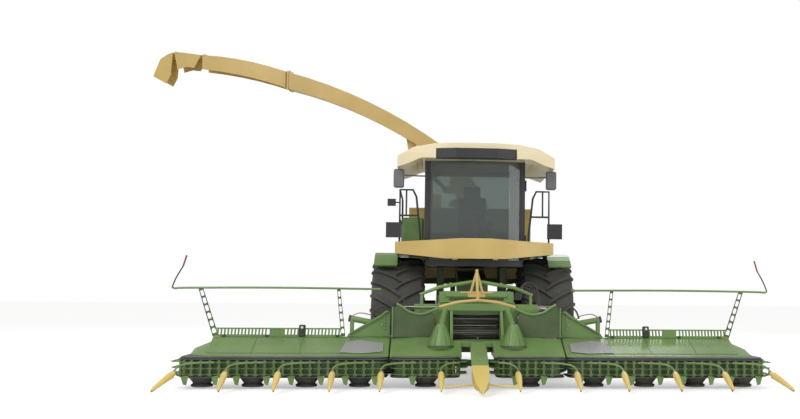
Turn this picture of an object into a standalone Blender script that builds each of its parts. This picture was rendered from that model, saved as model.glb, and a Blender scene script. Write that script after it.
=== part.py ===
"""Self-propelled forage harvester with a wide maize header.

The model is built in the machine's own frame, in metres: X = 0 is the centre plane with +X to the
machine's left, +Y runs rearwards from the front axle, and Z = 0 is the ground. At the end the root
empty moves the whole machine so that the origin lies under the middle of its box.
"""
from math import asin, cos, degrees, pi, radians, sin

import bmesh
import bpy
from mathutils import Matrix, Vector

# ---------------------------------------------------------------- driving sizes (metres, degrees)
GAP = 0.0003                     # left between pieces that touch

# wheels
FRONT_TYRE_R = 1.045
FRONT_TYRE_W = 0.90
FRONT_RIM_R = 0.50
FRONT_TRACK_X = 1.30             # wheel centre from the middle plane
REAR_TYRE_R = 0.80
REAR_TYRE_W = 0.66
REAR_RIM_R = 0.36
REAR_TRACK_X = 1.20
REAR_AXLE_Y = 3.30
KINGPIN_X = 0.80
KINGPIN_R = 0.055

TYRE_STEPS = 30
FLAT_SHARE = cos(pi / TYRE_STEPS)        # a tyre's flats lie this much nearer than its corners
FRONT_AXLE_Z = FRONT_TYRE_R * FLAT_SHARE
REAR_AXLE_Z = REAR_TYRE_R * FLAT_SHARE
AXLE_R = 0.16
HUB_X = 0.16                     # hub face, inwards from the wheel's middle

# main frame
FRAME_X = 0.62                   # outer face of the front side plates
FRAME_PLATE = 0.05
FRAME_FRONT_Y = -1.10
FRAME_STEP_Y = 1.70              # where the wide front part meets the narrow rails
FRAME_REAR_Y = 5.00
FRAME_LOW_Z = 0.80
FRAME_TOP_Z = 1.40
HITCH_Y = 5.16                   # face of the rear hitch plate
RAIL_X = 0.28                    # outer face of the rear rails
RAIL_WALL = 0.08
RAIL_LOW_Z = 1.06
RAIL_TOP_Z = 1.34

BODY_BEAM_YS = (1.30, 4.85)      # cross beams that carry the rear body
ENGINE_FRONT_Y = 3.45
ENGINE_REAR_Y = 4.60
ENGINE_LOW_Z = 1.66
ENGINE_TOP_Z = 2.70

# chopper, crop channel and feeder
CHOPPER_X = 0.52
CHOPPER_FRONT_Y = -1.02
CHOPPER_REAR_Y = -0.20
CHOPPER_LOW_Z = 0.62
CHOPPER_TOP_Z = 1.42
FEEDER_X = 0.44                  # outer half width of the feeder housing
FEEDER_WALL = 0.04
FEEDER_FRONT_Y = -1.86
FEEDER_REAR_Y = -1.04
FEEDER_LOW_Z = 0.66
FEEDER_TOP_Z = 1.22
LIFT_Y = -0.62                   # header lift pivot
LIFT_Z = 1.08
LIFT_PIN_R = 0.07
ROLLER_Y = -1.62
ROLLER_GAP = 0.012
UPPER_ROLLER_R = 0.125
UPPER_ROLLER_Z = 1.03
LOWER_ROLLER_R = 0.09
LOWER_ROLLER_Z = 0.80
CHANNEL_X = 0.25
CHANNEL_TOP_Z = 3.16

# cab
CAB_X = 0.86                     # outer half width
CAB_WALL = 0.06
CAB_FLOOR_X = FRONT_TRACK_X - FRONT_TYRE_W / 2 - 0.02      # clear of the front tyres
CAB_FRONT_Y = -1.06
CAB_REAR_Y = 0.62
CAB_FLOOR_Z = 1.90
CAB_FLOOR_T = 0.10
CAB_EAVE_Z = 3.70                # top of the glass and posts
CAB_POST = 0.09
CAB_RAIL = 0.18                  # height of the rails over the side windows, below the roof's wings
SCREEN_BOW = 0.12                # how far the windscreen bows forward at its middle
GLASS = 0.02
ROOF_X = 1.32
ROOF_T = 0.20
ROOF_FRONT_Y = -1.50
ROOF_REAR_Y = 0.78
VISOR_X = 0.68
VISOR_TOP_Z = 3.865
VISOR_REAR_Y = -1.33
PANEL_X = 1.35                   # half width of the yellow front panel under the cab
PANEL_END_Y = -1.10
PANEL_BOW = 0.38
CAB_SILL = 0.20                  # height of the sill under the side glass and door
SHELF = 0.12                     # how far the floor reaches in front of the windscreen
PANEL_T = 0.06

# platforms and railings beside the cab
PLATFORM_Z = 2.15                # top of the walkway
PLATFORM_T = 0.045
PLATFORM_X = 1.33
PLATFORM_FRONT_Y = -1.02
RAILING_X = 1.28
RAILING_Y = -1.00
BOARD_SIDE = 0.26
MIRROR_X = 1.30
PLATFORM_REAR_Y = 0.95
RAILING_TOP_Z = 3.20
RAIL_TUBE_R = 0.018

# rear body
BODY_X = 1.16
BODY_WALL = 0.05
BODY_FRONT_Y = 1.00
BODY_REAR_Y = 5.20
BODY_LOW_Z = 1.72
BODY_TOP_Z = 3.05
BODY_SLOPE_Y = 4.40              # where the roof starts to fall towards the rear
BODY_DROP = 0.30
DOOR_Y = (1.75, 4.70)
DOOR_Z = (2.05, 2.84)
GRILLE_X = 0.95
GRILLE_Z = (1.92, 2.60)

# spout
SPOUT_Y = 1.95                   # slew axis
SPOUT_RING_R = 0.36
SPOUT_REST_DEG = 170.0           # where the spout points at rest, from +X
SPOUT_HALF_W = 0.18
SPOUT_WALL = 0.012
SPOUT_LIFT = (0.20, 3.90)        # lift pivot: distance out from the slew axis, height
SPOUT_FOLD = (3.735, 5.925)
FLAP_HINGE = (5.525, 6.285)
FLAP_TIP_HINGE = (6.125, 6.345)
LIFT_FOOT = (0.46, 3.50)         # pins of the lift cylinder
LIFT_EYE = (1.16, 4.24)

# header
HEADER_X = 4.48                  # outer half width of the collectors
FOLD_X = 1.36                    # fold line between the middle section and each wing
FOLD_CLEAR = 0.012
DECK_FRONT_Y = -2.75
DECK_BREAK_Y = -2.10             # the deck is level behind this line
DECK_REAR_Y = -1.89
DECK_FRONT_Z = 0.483
DECK_REAR_Z = 0.742
DECK_LOW_Z = 0.46
DECK_END_X = 4.12
COLLECTOR_FRONT_Y = -2.92
COLLECTOR_REAR_Y = -2.20
COLLECTOR_LOW_Z = 0.18
BAR_FRONT_Y = -2.28              # bar that joins the middle collectors
INTAKE_X = 0.38
INTAKE_LOW_Z = 0.70
INTAKE_TOP_Z = 1.10
GUARD_TOP_Z = 1.50
GUARD_Y = -2.06
CONE_X = 0.575
CONE_Y = -2.35
CONE_R = 0.215
FOLD_Z = DECK_REAR_Z + 0.018      # fold axis, just above the deck
SKID_LOW_Z = 0.012
TIP_Y = (-3.30, -3.80)           # root and point of a divider tip
TIP_Z = (0.27, 0.055)
CENTRE_TIP_X = 0.57
WING_TIPS_X = (1.45, 2.16, 2.94, 3.70, 4.42)
DIVIDER_X = 0.11
ARCH_Y = -1.944

# ---------------------------------------------------------------- scene set-up
for old in list(bpy.data.objects):
    bpy.data.objects.remove(old, do_unlink=True)

PARTS = bpy.data.collections.new("forage_harvester")
WORK = bpy.data.collections.new("cutters")
for collection in (PARTS, WORK):
    bpy.context.scene.collection.children.link(collection)
ROOT = bpy.data.objects.new("harvester_root", None)
PARTS.objects.link(ROOT)

# name: (red, green, blue, roughness, metallic)
FINISHES = {
    "yellow_paint": (0.62, 0.42, 0.11, 0.38, 0.0),
    "pale_paint": (0.86, 0.74, 0.50, 0.42, 0.0),
    "green_paint": (0.06, 0.16, 0.035, 0.40, 0.0),
    "dark_green_paint": (0.04, 0.09, 0.03, 0.45, 0.0),
    "black_plastic": (0.02, 0.02, 0.022, 0.50, 0.0),
    "grey_plastic": (0.16, 0.165, 0.17, 0.50, 0.0),
    "steel": (0.45, 0.45, 0.44, 0.35, 1.0),
    "chrome": (0.80, 0.80, 0.80, 0.10, 1.0),
    "cast_iron": (0.10, 0.10, 0.10, 0.60, 0.6),
    "tyre_rubber": (0.025, 0.025, 0.026, 0.80, 0.0),
    "glass": (0.30, 0.34, 0.34, 0.05, 0.0),
    "seat_fabric": (0.05, 0.05, 0.055, 0.85, 0.0),
}


def make_material(name):
    """Principled material of a named finish."""
    red, green, blue, roughness, metallic = FINISHES[name]
    material = bpy.data.materials.new(name)
    material.use_nodes = True
    shader = material.node_tree.nodes["Principled BSDF"]
    shader.inputs["Base Color"].default_value = (red, green, blue, 1.0)
    shader.inputs["Roughness"].default_value = roughness
    shader.inputs["Metallic"].default_value = metallic
    return material


MATERIALS = {name: make_material(name) for name in FINISHES}

# local axes of a plate: thickness runs along the axis that the name leaves out
PLANES = {
    "YZ": Matrix(((0, 0, 1, 0), (1, 0, 0, 0), (0, 1, 0, 0), (0, 0, 0, 1))),
    "XZ": Matrix(((1, 0, 0, 0), (0, 0, -1, 0), (0, 1, 0, 0), (0, 0, 0, 1))),
    "XY": Matrix.Identity(4),
}
MIDDLE_SIGN = {"YZ": 1, "XZ": -1, "XY": 1}


# ---------------------------------------------------------------- shapes
def keep(mesh):
    """Put a mesh in the cutters' collection as a hidden working shape."""
    shape = bpy.data.objects.new("shape", mesh)
    shape.hide_render = True
    shape.display_type = "WIRE"
    WORK.objects.link(shape)
    return shape


def from_bmesh(bm):
    """Working shape from a bmesh, which is freed."""
    bm.normal_update()
    bmesh.ops.recalc_face_normals(bm, faces=bm.faces)
    mesh = bpy.data.meshes.new("shape")
    bm.to_mesh(mesh)
    bm.free()
    return keep(mesh)


def to_mesh(obj, matrix=None, weld=0.00001):
    """Evaluated copy of an object's mesh, welded; the object itself is removed."""
    bpy.context.view_layer.update()
    evaluated = obj.evaluated_get(bpy.context.evaluated_depsgraph_get())
    mesh = bpy.data.meshes.new_from_object(evaluated)
    bm = bmesh.new()
    bm.from_mesh(mesh)
    if weld:
        bmesh.ops.remove_doubles(bm, verts=bm.verts, dist=weld)
    if matrix is not None:
        bm.transform(matrix)
    bm.normal_update()
    bm.to_mesh(mesh)
    bm.free()
    bpy.data.objects.remove(obj, do_unlink=True)
    return mesh


def span(x, y, z, bevel=0.0, turn=None, about=None):
    """Box between pairs of limits, with rounded edges and a turn about a point if given."""
    bm = bmesh.new()
    bmesh.ops.create_cube(bm, size=1.0)
    size = Vector((x[1] - x[0], y[1] - y[0], z[1] - z[0]))
    middle = Vector((x[0] + x[1], y[0] + y[1], z[0] + z[1])) / 2
    bmesh.ops.scale(bm, vec=size, verts=bm.verts)
    if bevel:
        bmesh.ops.bevel(bm, geom=list(bm.edges), offset=bevel, segments=1, profile=0.5,
                        affect="EDGES", material=-1)
    bmesh.ops.translate(bm, vec=middle, verts=bm.verts)
    if turn is not None:
        centre = Vector(about) if about is not None else middle
        bmesh.ops.rotate(bm, cent=centre, matrix=turn, verts=bm.verts)
    return from_bmesh(bm)


def drum(radius, start, end, sides=24, end_radius=None):
    """Cylinder or cone from one point to another."""
    start, end = Vector(start), Vector(end)
    bm = bmesh.new()
    bmesh.ops.create_cone(bm, cap_ends=True, segments=sides, radius1=radius,
                          radius2=radius if end_radius is None else end_radius,
                          depth=(end - start).length)
    turn = (end - start).to_track_quat("Z", "Y").to_matrix().to_4x4()
    bm.transform(Matrix.Translation((start + end) / 2) @ turn)
    return from_bmesh(bm)


def turned(profile, centre, axis="X", steps=32):
    """Profile of (radius, height) points turned about an axis through the centre."""
    mesh = bpy.data.meshes.new("profile")
    bm = bmesh.new()
    verts = [bm.verts.new((radius, 0.0, height)) for radius, height in profile]
    closed = profile[0][0] > 0 and profile[-1][0] > 0
    for first, second in zip(verts, verts[1:] + verts[:1] if closed else verts[1:]):
        bm.edges.new((first, second))
    bm.to_mesh(mesh)
    bm.free()
    lathe = keep(mesh)
    screw = lathe.modifiers.new("turn", "SCREW")
    screw.steps = steps
    screw.render_steps = steps
    screw.use_merge_vertices = True
    screw.merge_threshold = 0.00001
    turn = {"X": Matrix.Rotation(pi / 2, 4, "Y"), "Y": Matrix.Rotation(-pi / 2, 4, "X"),
            "Z": Matrix.Identity(4)}[axis]
    half_step = Matrix.Rotation(pi / steps, 4, "Z")
    return keep(to_mesh(lathe, Matrix.Translation(centre) @ turn @ half_step))


def tube(points, radius, cyclic=False, resolution=2):
    """Round tube along points, with filled ends."""
    data = bpy.data.curves.new("tube", "CURVE")
    data.dimensions = "3D"
    data.bevel_depth = radius
    data.bevel_resolution = resolution
    data.use_fill_caps = True
    spline = data.splines.new("POLY")
    spline.points.add(len(points) - 1)
    for point, place in zip(spline.points, points):
        point.co = (*place, 1.0)
    spline.use_cyclic_u = cyclic
    curve = bpy.data.objects.new("tube", data)
    WORK.objects.link(curve)
    return keep(to_mesh(curve))


def plate(outline, limits, plane):
    """Flat outline in a plane, thick between two limits along the third axis."""
    data = bpy.data.curves.new("plate", "CURVE")
    data.dimensions = "2D"
    data.fill_mode = "BOTH"
    data.extrude = (limits[1] - limits[0]) / 2
    spline = data.splines.new("POLY")
    spline.points.add(len(outline) - 1)
    for point, (across, up) in zip(spline.points, outline):
        point.co = (across, up, 0.0, 1.0)
    spline.use_cyclic_u = True
    curve = bpy.data.objects.new("plate", data)
    WORK.objects.link(curve)
    middle = MIDDLE_SIGN[plane] * (limits[0] + limits[1]) / 2
    mesh = to_mesh(curve, PLANES[plane] @ Matrix.Translation((0.0, 0.0, middle)))
    bm = bmesh.new()
    bm.from_mesh(mesh)
    return from_bmesh(bm)


def arc(centre, radius, start_deg, end_deg, count):
    """Points of an arc in a plane."""
    step = (end_deg - start_deg) / (count - 1)
    return [(centre[0] + radius * cos(radians(start_deg + step * index)),
             centre[1] + radius * sin(radians(start_deg + step * index)))
            for index in range(count)]


def mirrored(shape):
    """Mirror image of a shape across X = 0."""
    bm = bmesh.new()
    bm.from_mesh(shape.data)
    bm.transform(Matrix.Scale(-1, 4, (1, 0, 0)))
    return from_bmesh(bm)


def both(shapes):
    """Shapes of one side and their mirror images."""
    return shapes + [mirrored(shape) for shape in shapes]


def combine(first, others, operation):
    """Boolean of the first shape with each of the others, which are removed."""
    for other in others:
        boolean = first.modifiers.new(operation, "BOOLEAN")
        boolean.operation = operation
        boolean.solver = "EXACT"
        boolean.object = other
    mesh = to_mesh(first, weld=0)
    for other in others:
        bpy.data.objects.remove(other, do_unlink=True)
    return keep(mesh)


def part(name, finish, shapes, cuts=(), pivot=(0, 0, 0), place=None, smooth=False):
    """Named sub-part: shapes joined, cuts taken away, origin at the pivot."""
    solid = shapes[0]
    if len(shapes) > 1:
        solid = combine(solid, shapes[1:], "UNION")
    if cuts:
        solid = combine(solid, list(cuts), "DIFFERENCE")
    mesh = solid.data.copy()
    bpy.data.objects.remove(solid, do_unlink=True)
    if place is not None:
        mesh.transform(place)
    mesh.transform(Matrix.Translation(-Vector(pivot)))
    if smooth:
        mesh.shade_smooth()
        mesh.set_sharp_from_angle(angle=radians(35))
    mesh.materials.clear()
    mesh.materials.append(MATERIALS[finish])
    mesh.name = name
    obj = bpy.data.objects.new(name, mesh)
    obj.location = pivot
    obj.parent = ROOT
    PARTS.objects.link(obj)
    return obj


# ---------------------------------------------------------------- running gear
def tyre_profile(radius, width, rim_radius):
    """Closed section of a tyre, from its outer shoulder round to its inner one."""
    half, bead = width / 2, width * 0.40
    tread = radius - 0.045
    outside = [(rim_radius, bead), (rim_radius + 0.06, half - 0.03), ((rim_radius + radius) / 2, half),
               (tread - 0.03, half - 0.02), (radius, half - 0.09)]
    inside = [(r, -height) for r, height in reversed(outside)]
    return outside + inside


def rim_profile(rim_radius, width, hub_radius):
    """Section of a rim with its dished disc and hub, from the axis outwards and back."""
    lip, bead = rim_radius - GAP, width * 0.40
    well = rim_radius - 0.045
    return [(0.0, 0.06), (hub_radius, 0.06), (hub_radius, 0.0), (well - 0.05, -0.02), (well, bead - 0.03),
            (lip, bead), (lip, -bead), (well, 0.03 - bead), (well - 0.05, -0.08), (hub_radius, -0.06),
            (hub_radius, -HUB_X), (0.0, -HUB_X)]


def wheel(side_name, side, axle, sizes):
    """Tyre and rim of one wheel; side is +1 on the machine's left."""
    radius, width, rim_radius, track, axle_y, axle_z = sizes
    centre = (side * track, axle_y, axle_z)
    tyre = turned(tyre_profile(radius, width, rim_radius), centre, steps=TYRE_STEPS)
    part(f"tyre_{axle}_{side_name}", "tyre_rubber", [tyre], pivot=centre, smooth=True)
    profile = [(r, side * height) for r, height in rim_profile(rim_radius, width, rim_radius * 0.42)]
    if side < 0:
        profile.reverse()
    rim = turned(profile, centre, steps=TYRE_STEPS)
    part(f"rim_{axle}_{side_name}", "pale_paint", [rim], pivot=centre, smooth=True)


SIDES = (("left", 1), ("right", -1))
FRONT_WHEEL = (FRONT_TYRE_R, FRONT_TYRE_W, FRONT_RIM_R, FRONT_TRACK_X, 0.0, FRONT_AXLE_Z)
REAR_WHEEL = (REAR_TYRE_R, REAR_TYRE_W, REAR_RIM_R, REAR_TRACK_X, REAR_AXLE_Y, REAR_AXLE_Z)


def running_gear():
    """Wheels, axles and steering knuckles."""
    for side_name, side in SIDES:
        wheel(side_name, side, "front", FRONT_WHEEL)
        wheel(side_name, side, "rear", REAR_WHEEL)

    hub_face = FRONT_TRACK_X - HUB_X - GAP
    housing_start = FRAME_X + 0.02
    front = [drum(AXLE_R, (-hub_face, 0, FRONT_AXLE_Z), (hub_face, 0, FRONT_AXLE_Z), 20)]
    front += both([drum(0.27, (housing_start, 0, FRONT_AXLE_Z), (housing_start + 0.24, 0, FRONT_AXLE_Z), 20),
                   drum(0.21, (housing_start + 0.20, 0, FRONT_AXLE_Z), (hub_face - 0.04, 0, FRONT_AXLE_Z),
                        20)])
    part("front_axle", "cast_iron", front, smooth=True)

    fork_x = KINGPIN_X - 0.16
    beam_half = KINGPIN_X - 0.10
    beam = [span((-beam_half, beam_half), (REAR_AXLE_Y - 0.11, REAR_AXLE_Y + 0.11),
                 (REAR_AXLE_Z - 0.10, REAR_AXLE_Z + 0.10))]
    beam += [span((-0.16, 0.16), (REAR_AXLE_Y - 0.14, REAR_AXLE_Y + 0.14),
                  (REAR_AXLE_Z + 0.05, RAIL_LOW_Z - GAP))]
    for side in (1, -1):
        for low, high in ((0.14, 0.19), (-0.19, -0.14)):
            beam.append(span(sorted((side * fork_x, side * (KINGPIN_X + 0.07))),
                             (REAR_AXLE_Y - 0.09, REAR_AXLE_Y + 0.09),
                             (REAR_AXLE_Z + low, REAR_AXLE_Z + high)))
        beam.append(span(sorted((side * fork_x, side * (fork_x + 0.05))),
                         (REAR_AXLE_Y - 0.09, REAR_AXLE_Y + 0.09),
                         (REAR_AXLE_Z - 0.17, REAR_AXLE_Z + 0.17)))
        beam.append(drum(KINGPIN_R, (side * KINGPIN_X, REAR_AXLE_Y, REAR_AXLE_Z - 0.18),
                         (side * KINGPIN_X, REAR_AXLE_Y, REAR_AXLE_Z + 0.18), 16))
    part("rear_axle", "cast_iron", beam)

    stub_end = REAR_TRACK_X - HUB_X - GAP
    for side_name, side in SIDES:
        pivot = (side * KINGPIN_X, REAR_AXLE_Y, REAR_AXLE_Z)
        body = [drum(KINGPIN_R + 0.035, (side * KINGPIN_X, REAR_AXLE_Y, REAR_AXLE_Z - 0.14 + GAP),
                     (side * KINGPIN_X, REAR_AXLE_Y, REAR_AXLE_Z + 0.14 - GAP), 16),
                drum(0.075, (side * (KINGPIN_X + 0.07), REAR_AXLE_Y, REAR_AXLE_Z),
                     (side * stub_end, REAR_AXLE_Y, REAR_AXLE_Z), 16),
                span(sorted((side * (KINGPIN_X - 0.02), side * (KINGPIN_X + 0.06))),
                     (REAR_AXLE_Y + 0.05, REAR_AXLE_Y + 0.30), (REAR_AXLE_Z - 0.13, REAR_AXLE_Z - 0.08))]
        bore = drum(KINGPIN_R + 0.004, (side * KINGPIN_X, REAR_AXLE_Y, REAR_AXLE_Z - 0.3),
                    (side * KINGPIN_X, REAR_AXLE_Y, REAR_AXLE_Z + 0.3), 16)
        part(f"knuckle_{side_name}", "cast_iron", body, [bore], pivot=pivot)


def frame():
    """Main frame, engine block and the supports of cab and body."""
    plate_x = (FRAME_X - FRAME_PLATE, FRAME_X)
    post_x = (FRAME_X - 0.12, FRAME_X)
    shapes = both([span(plate_x, (FRAME_FRONT_Y, FRAME_STEP_Y + 0.05), (FRAME_LOW_Z, FRAME_TOP_Z)),
                   span((RAIL_X - RAIL_WALL, RAIL_X), (FRAME_STEP_Y - 0.02, FRAME_REAR_Y),
                        (RAIL_LOW_Z, RAIL_TOP_Z)),
                   span(post_x, (-0.15, 0.05), (FRAME_TOP_Z - 0.06, CAB_FLOOR_Z - GAP)),
                   span(post_x, (0.45, 0.60), (FRAME_TOP_Z - 0.06, CAB_FLOOR_Z - GAP))])
    shapes.append(span((-FRAME_X + 0.01, FRAME_X - 0.01), (FRAME_STEP_Y - 0.06, FRAME_STEP_Y + 0.04),
                       (FRAME_LOW_Z + 0.03, FRAME_TOP_Z - 0.03)))
    for y, half in ((2.40, 0.04), (REAR_AXLE_Y, 0.13), (FRAME_REAR_Y - 0.05, 0.04)):
        shapes.append(span((-RAIL_X + 0.01, RAIL_X - 0.01), (y - half, y + half),
                           (RAIL_LOW_Z, RAIL_TOP_Z - 0.02)))
    for y in BODY_BEAM_YS:
        shapes.append(span((-BODY_X + 0.02, BODY_X - 0.02), (y - 0.05, y + 0.05),
                           (BODY_LOW_Z - 0.09, BODY_LOW_Z - GAP)))
        foot_top = FRAME_TOP_Z if y < FRAME_STEP_Y else RAIL_TOP_Z
        foot_x = plate_x if y < FRAME_STEP_Y else (RAIL_X - RAIL_WALL, RAIL_X)
        shapes += both([span(foot_x, (y - 0.04, y + 0.04), (foot_top - 0.05, BODY_LOW_Z - 0.03))])
    shapes.append(span((-RAIL_X + 0.02, RAIL_X - 0.02), (FRAME_REAR_Y - 0.02, HITCH_Y),
                       (RAIL_LOW_Z - 0.06, RAIL_TOP_Z - 0.04)))
    axle_hole = drum(AXLE_R + GAP * 3, (-1, 0, FRONT_AXLE_Z), (1, 0, FRONT_AXLE_Z), 20)
    pin_hole = drum(LIFT_PIN_R + 0.003, (-1, LIFT_Y, LIFT_Z), (1, LIFT_Y, LIFT_Z), 20)
    part("main_frame", "green_paint", shapes, [axle_hole, pin_hole])

    engine = [span((-0.72, 0.72), (ENGINE_FRONT_Y, ENGINE_REAR_Y), (ENGINE_LOW_Z, ENGINE_TOP_Z), bevel=0.05)]
    engine += both([span((RAIL_X - RAIL_WALL, RAIL_X), (y - 0.06, y + 0.06),
                         (RAIL_TOP_Z + GAP, ENGINE_LOW_Z + 0.08))
                    for y in (ENGINE_FRONT_Y + 0.15, ENGINE_REAR_Y - 0.15)])
    part("engine_block", "cast_iron", engine)


# ---------------------------------------------------------------- hinges
HINGE_R = 0.016
HINGE_LENGTH = 0.062
PANEL_CLEAR = 0.006              # round the edge of a door or lid


def knuckle_shapes(centre, along, outward, toward):
    """Hinge knuckle standing proud of a panel, with the leaf that joins it to the panel."""
    centre, along, outward, toward = (Vector(v) for v in (centre, along, outward, toward))
    half = along * (HINGE_LENGTH / 2)
    inset = along * 0.002
    corner = centre - half + inset + outward * (HINGE_R * 0.5) + toward * (HINGE_R * 0.31)
    opposite = centre + half - inset - outward * (HINGE_R + 0.013) + toward * (HINGE_R + 0.043)
    limits = [sorted((a, b)) for a, b in zip(corner, opposite)]
    return [drum(HINGE_R, centre - half, centre + half, 10), span(*limits)]


def hinge(point, along, outward, toward):
    """Door knuckle and the two fixed knuckles beside it, for a hinge point on the axis."""
    point, along = Vector(point), Vector(along)
    step = along * (HINGE_LENGTH + GAP)
    fixed = knuckle_shapes(point + step, along, outward, -Vector(toward))
    fixed += knuckle_shapes(point - step, along, outward, -Vector(toward))
    return knuckle_shapes(point, along, outward, toward), fixed


# ---------------------------------------------------------------- chopper, channel and feeder
def crop_flow():
    """Chopper housing, crop channel, feeder housing and its two rollers."""
    chopper = [span((-CHOPPER_X, CHOPPER_X), (CHOPPER_FRONT_Y, CHOPPER_REAR_Y),
                    (CHOPPER_LOW_Z, CHOPPER_TOP_Z),
                    bevel=0.03)]
    chopper.append(span((-FRAME_X + FRAME_PLATE + GAP, FRAME_X - FRAME_PLATE - GAP),
                        (CHOPPER_REAR_Y - 0.10, CHOPPER_REAR_Y - 0.04),
                        (CHOPPER_LOW_Z + 0.22, CHOPPER_TOP_Z - 0.06)))
    part("chopper_housing", "green_paint", chopper)

    base = CHOPPER_TOP_Z + GAP
    outline = [(CHOPPER_FRONT_Y + 0.25, base), (CHOPPER_REAR_Y - 0.05, base), (0.95, base + 0.08),
               (SPOUT_Y + 0.33, CHANNEL_TOP_Z - 0.32), (SPOUT_Y + 0.33, CHANNEL_TOP_Z),
               (SPOUT_Y - 0.33, CHANNEL_TOP_Z), (SPOUT_Y - 0.36, CHANNEL_TOP_Z - 0.30), (0.72, 1.88),
               (0.50, 1.83),
               (CHOPPER_FRONT_Y + 0.25, base + 0.20)]
    part("crop_channel", "yellow_paint", [plate(outline, (-CHANNEL_X, CHANNEL_X), "YZ")])

    inner_x = FEEDER_X - FEEDER_WALL
    inner_z = (FEEDER_LOW_Z + FEEDER_WALL, FEEDER_TOP_Z - FEEDER_WALL)
    shell = [span((-FEEDER_X, FEEDER_X), (FEEDER_FRONT_Y, FEEDER_REAR_Y), (FEEDER_LOW_Z, FEEDER_TOP_Z))]
    arm_x = (FRAME_X - FRAME_PLATE - 0.045, FRAME_X - FRAME_PLATE - 0.012)
    arm = [(FEEDER_REAR_Y - 0.12, LIFT_Z - 0.16), (LIFT_Y + 0.05, LIFT_Z - 0.11), (LIFT_Y + 0.11, LIFT_Z),
           (LIFT_Y + 0.05, LIFT_Z + 0.11), (FEEDER_REAR_Y - 0.12, LIFT_Z + 0.11)]
    shell += both([plate(arm, arm_x, "YZ"),
                   span((FEEDER_X - 0.02, arm_x[1]), (FEEDER_REAR_Y - 0.16, FEEDER_REAR_Y - 0.07),
                        (LIFT_Z - 0.16, LIFT_Z + 0.11)),
                   drum(LIFT_PIN_R + 0.03, (arm_x[0] + 0.01, LIFT_Y, LIFT_Z),
                        (FRAME_X - FRAME_PLATE - GAP, LIFT_Y, LIFT_Z), 20),
                   drum(LIFT_PIN_R, (arm_x[0] + 0.01, LIFT_Y, LIFT_Z), (FRAME_X + 0.02, LIFT_Y, LIFT_Z), 20)])
    tunnel = span((-inner_x, inner_x), (FEEDER_FRONT_Y - 0.1, FEEDER_REAR_Y + 0.1), inner_z)
    part("feeder_housing", "green_paint", shell, [tunnel])

    for name, radius, z in (("feed_roller_upper", UPPER_ROLLER_R, UPPER_ROLLER_Z),
                            ("feed_roller_lower", LOWER_ROLLER_R, LOWER_ROLLER_Z)):
        end = inner_x - GAP
        roller = [drum(radius, (-end + ROLLER_GAP, ROLLER_Y, z), (end - ROLLER_GAP, ROLLER_Y, z), 16),
                  drum(0.035, (-end, ROLLER_Y, z), (end, ROLLER_Y, z), 12)]
        part(name, "steel", roller, pivot=(0, ROLLER_Y, z))


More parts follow.
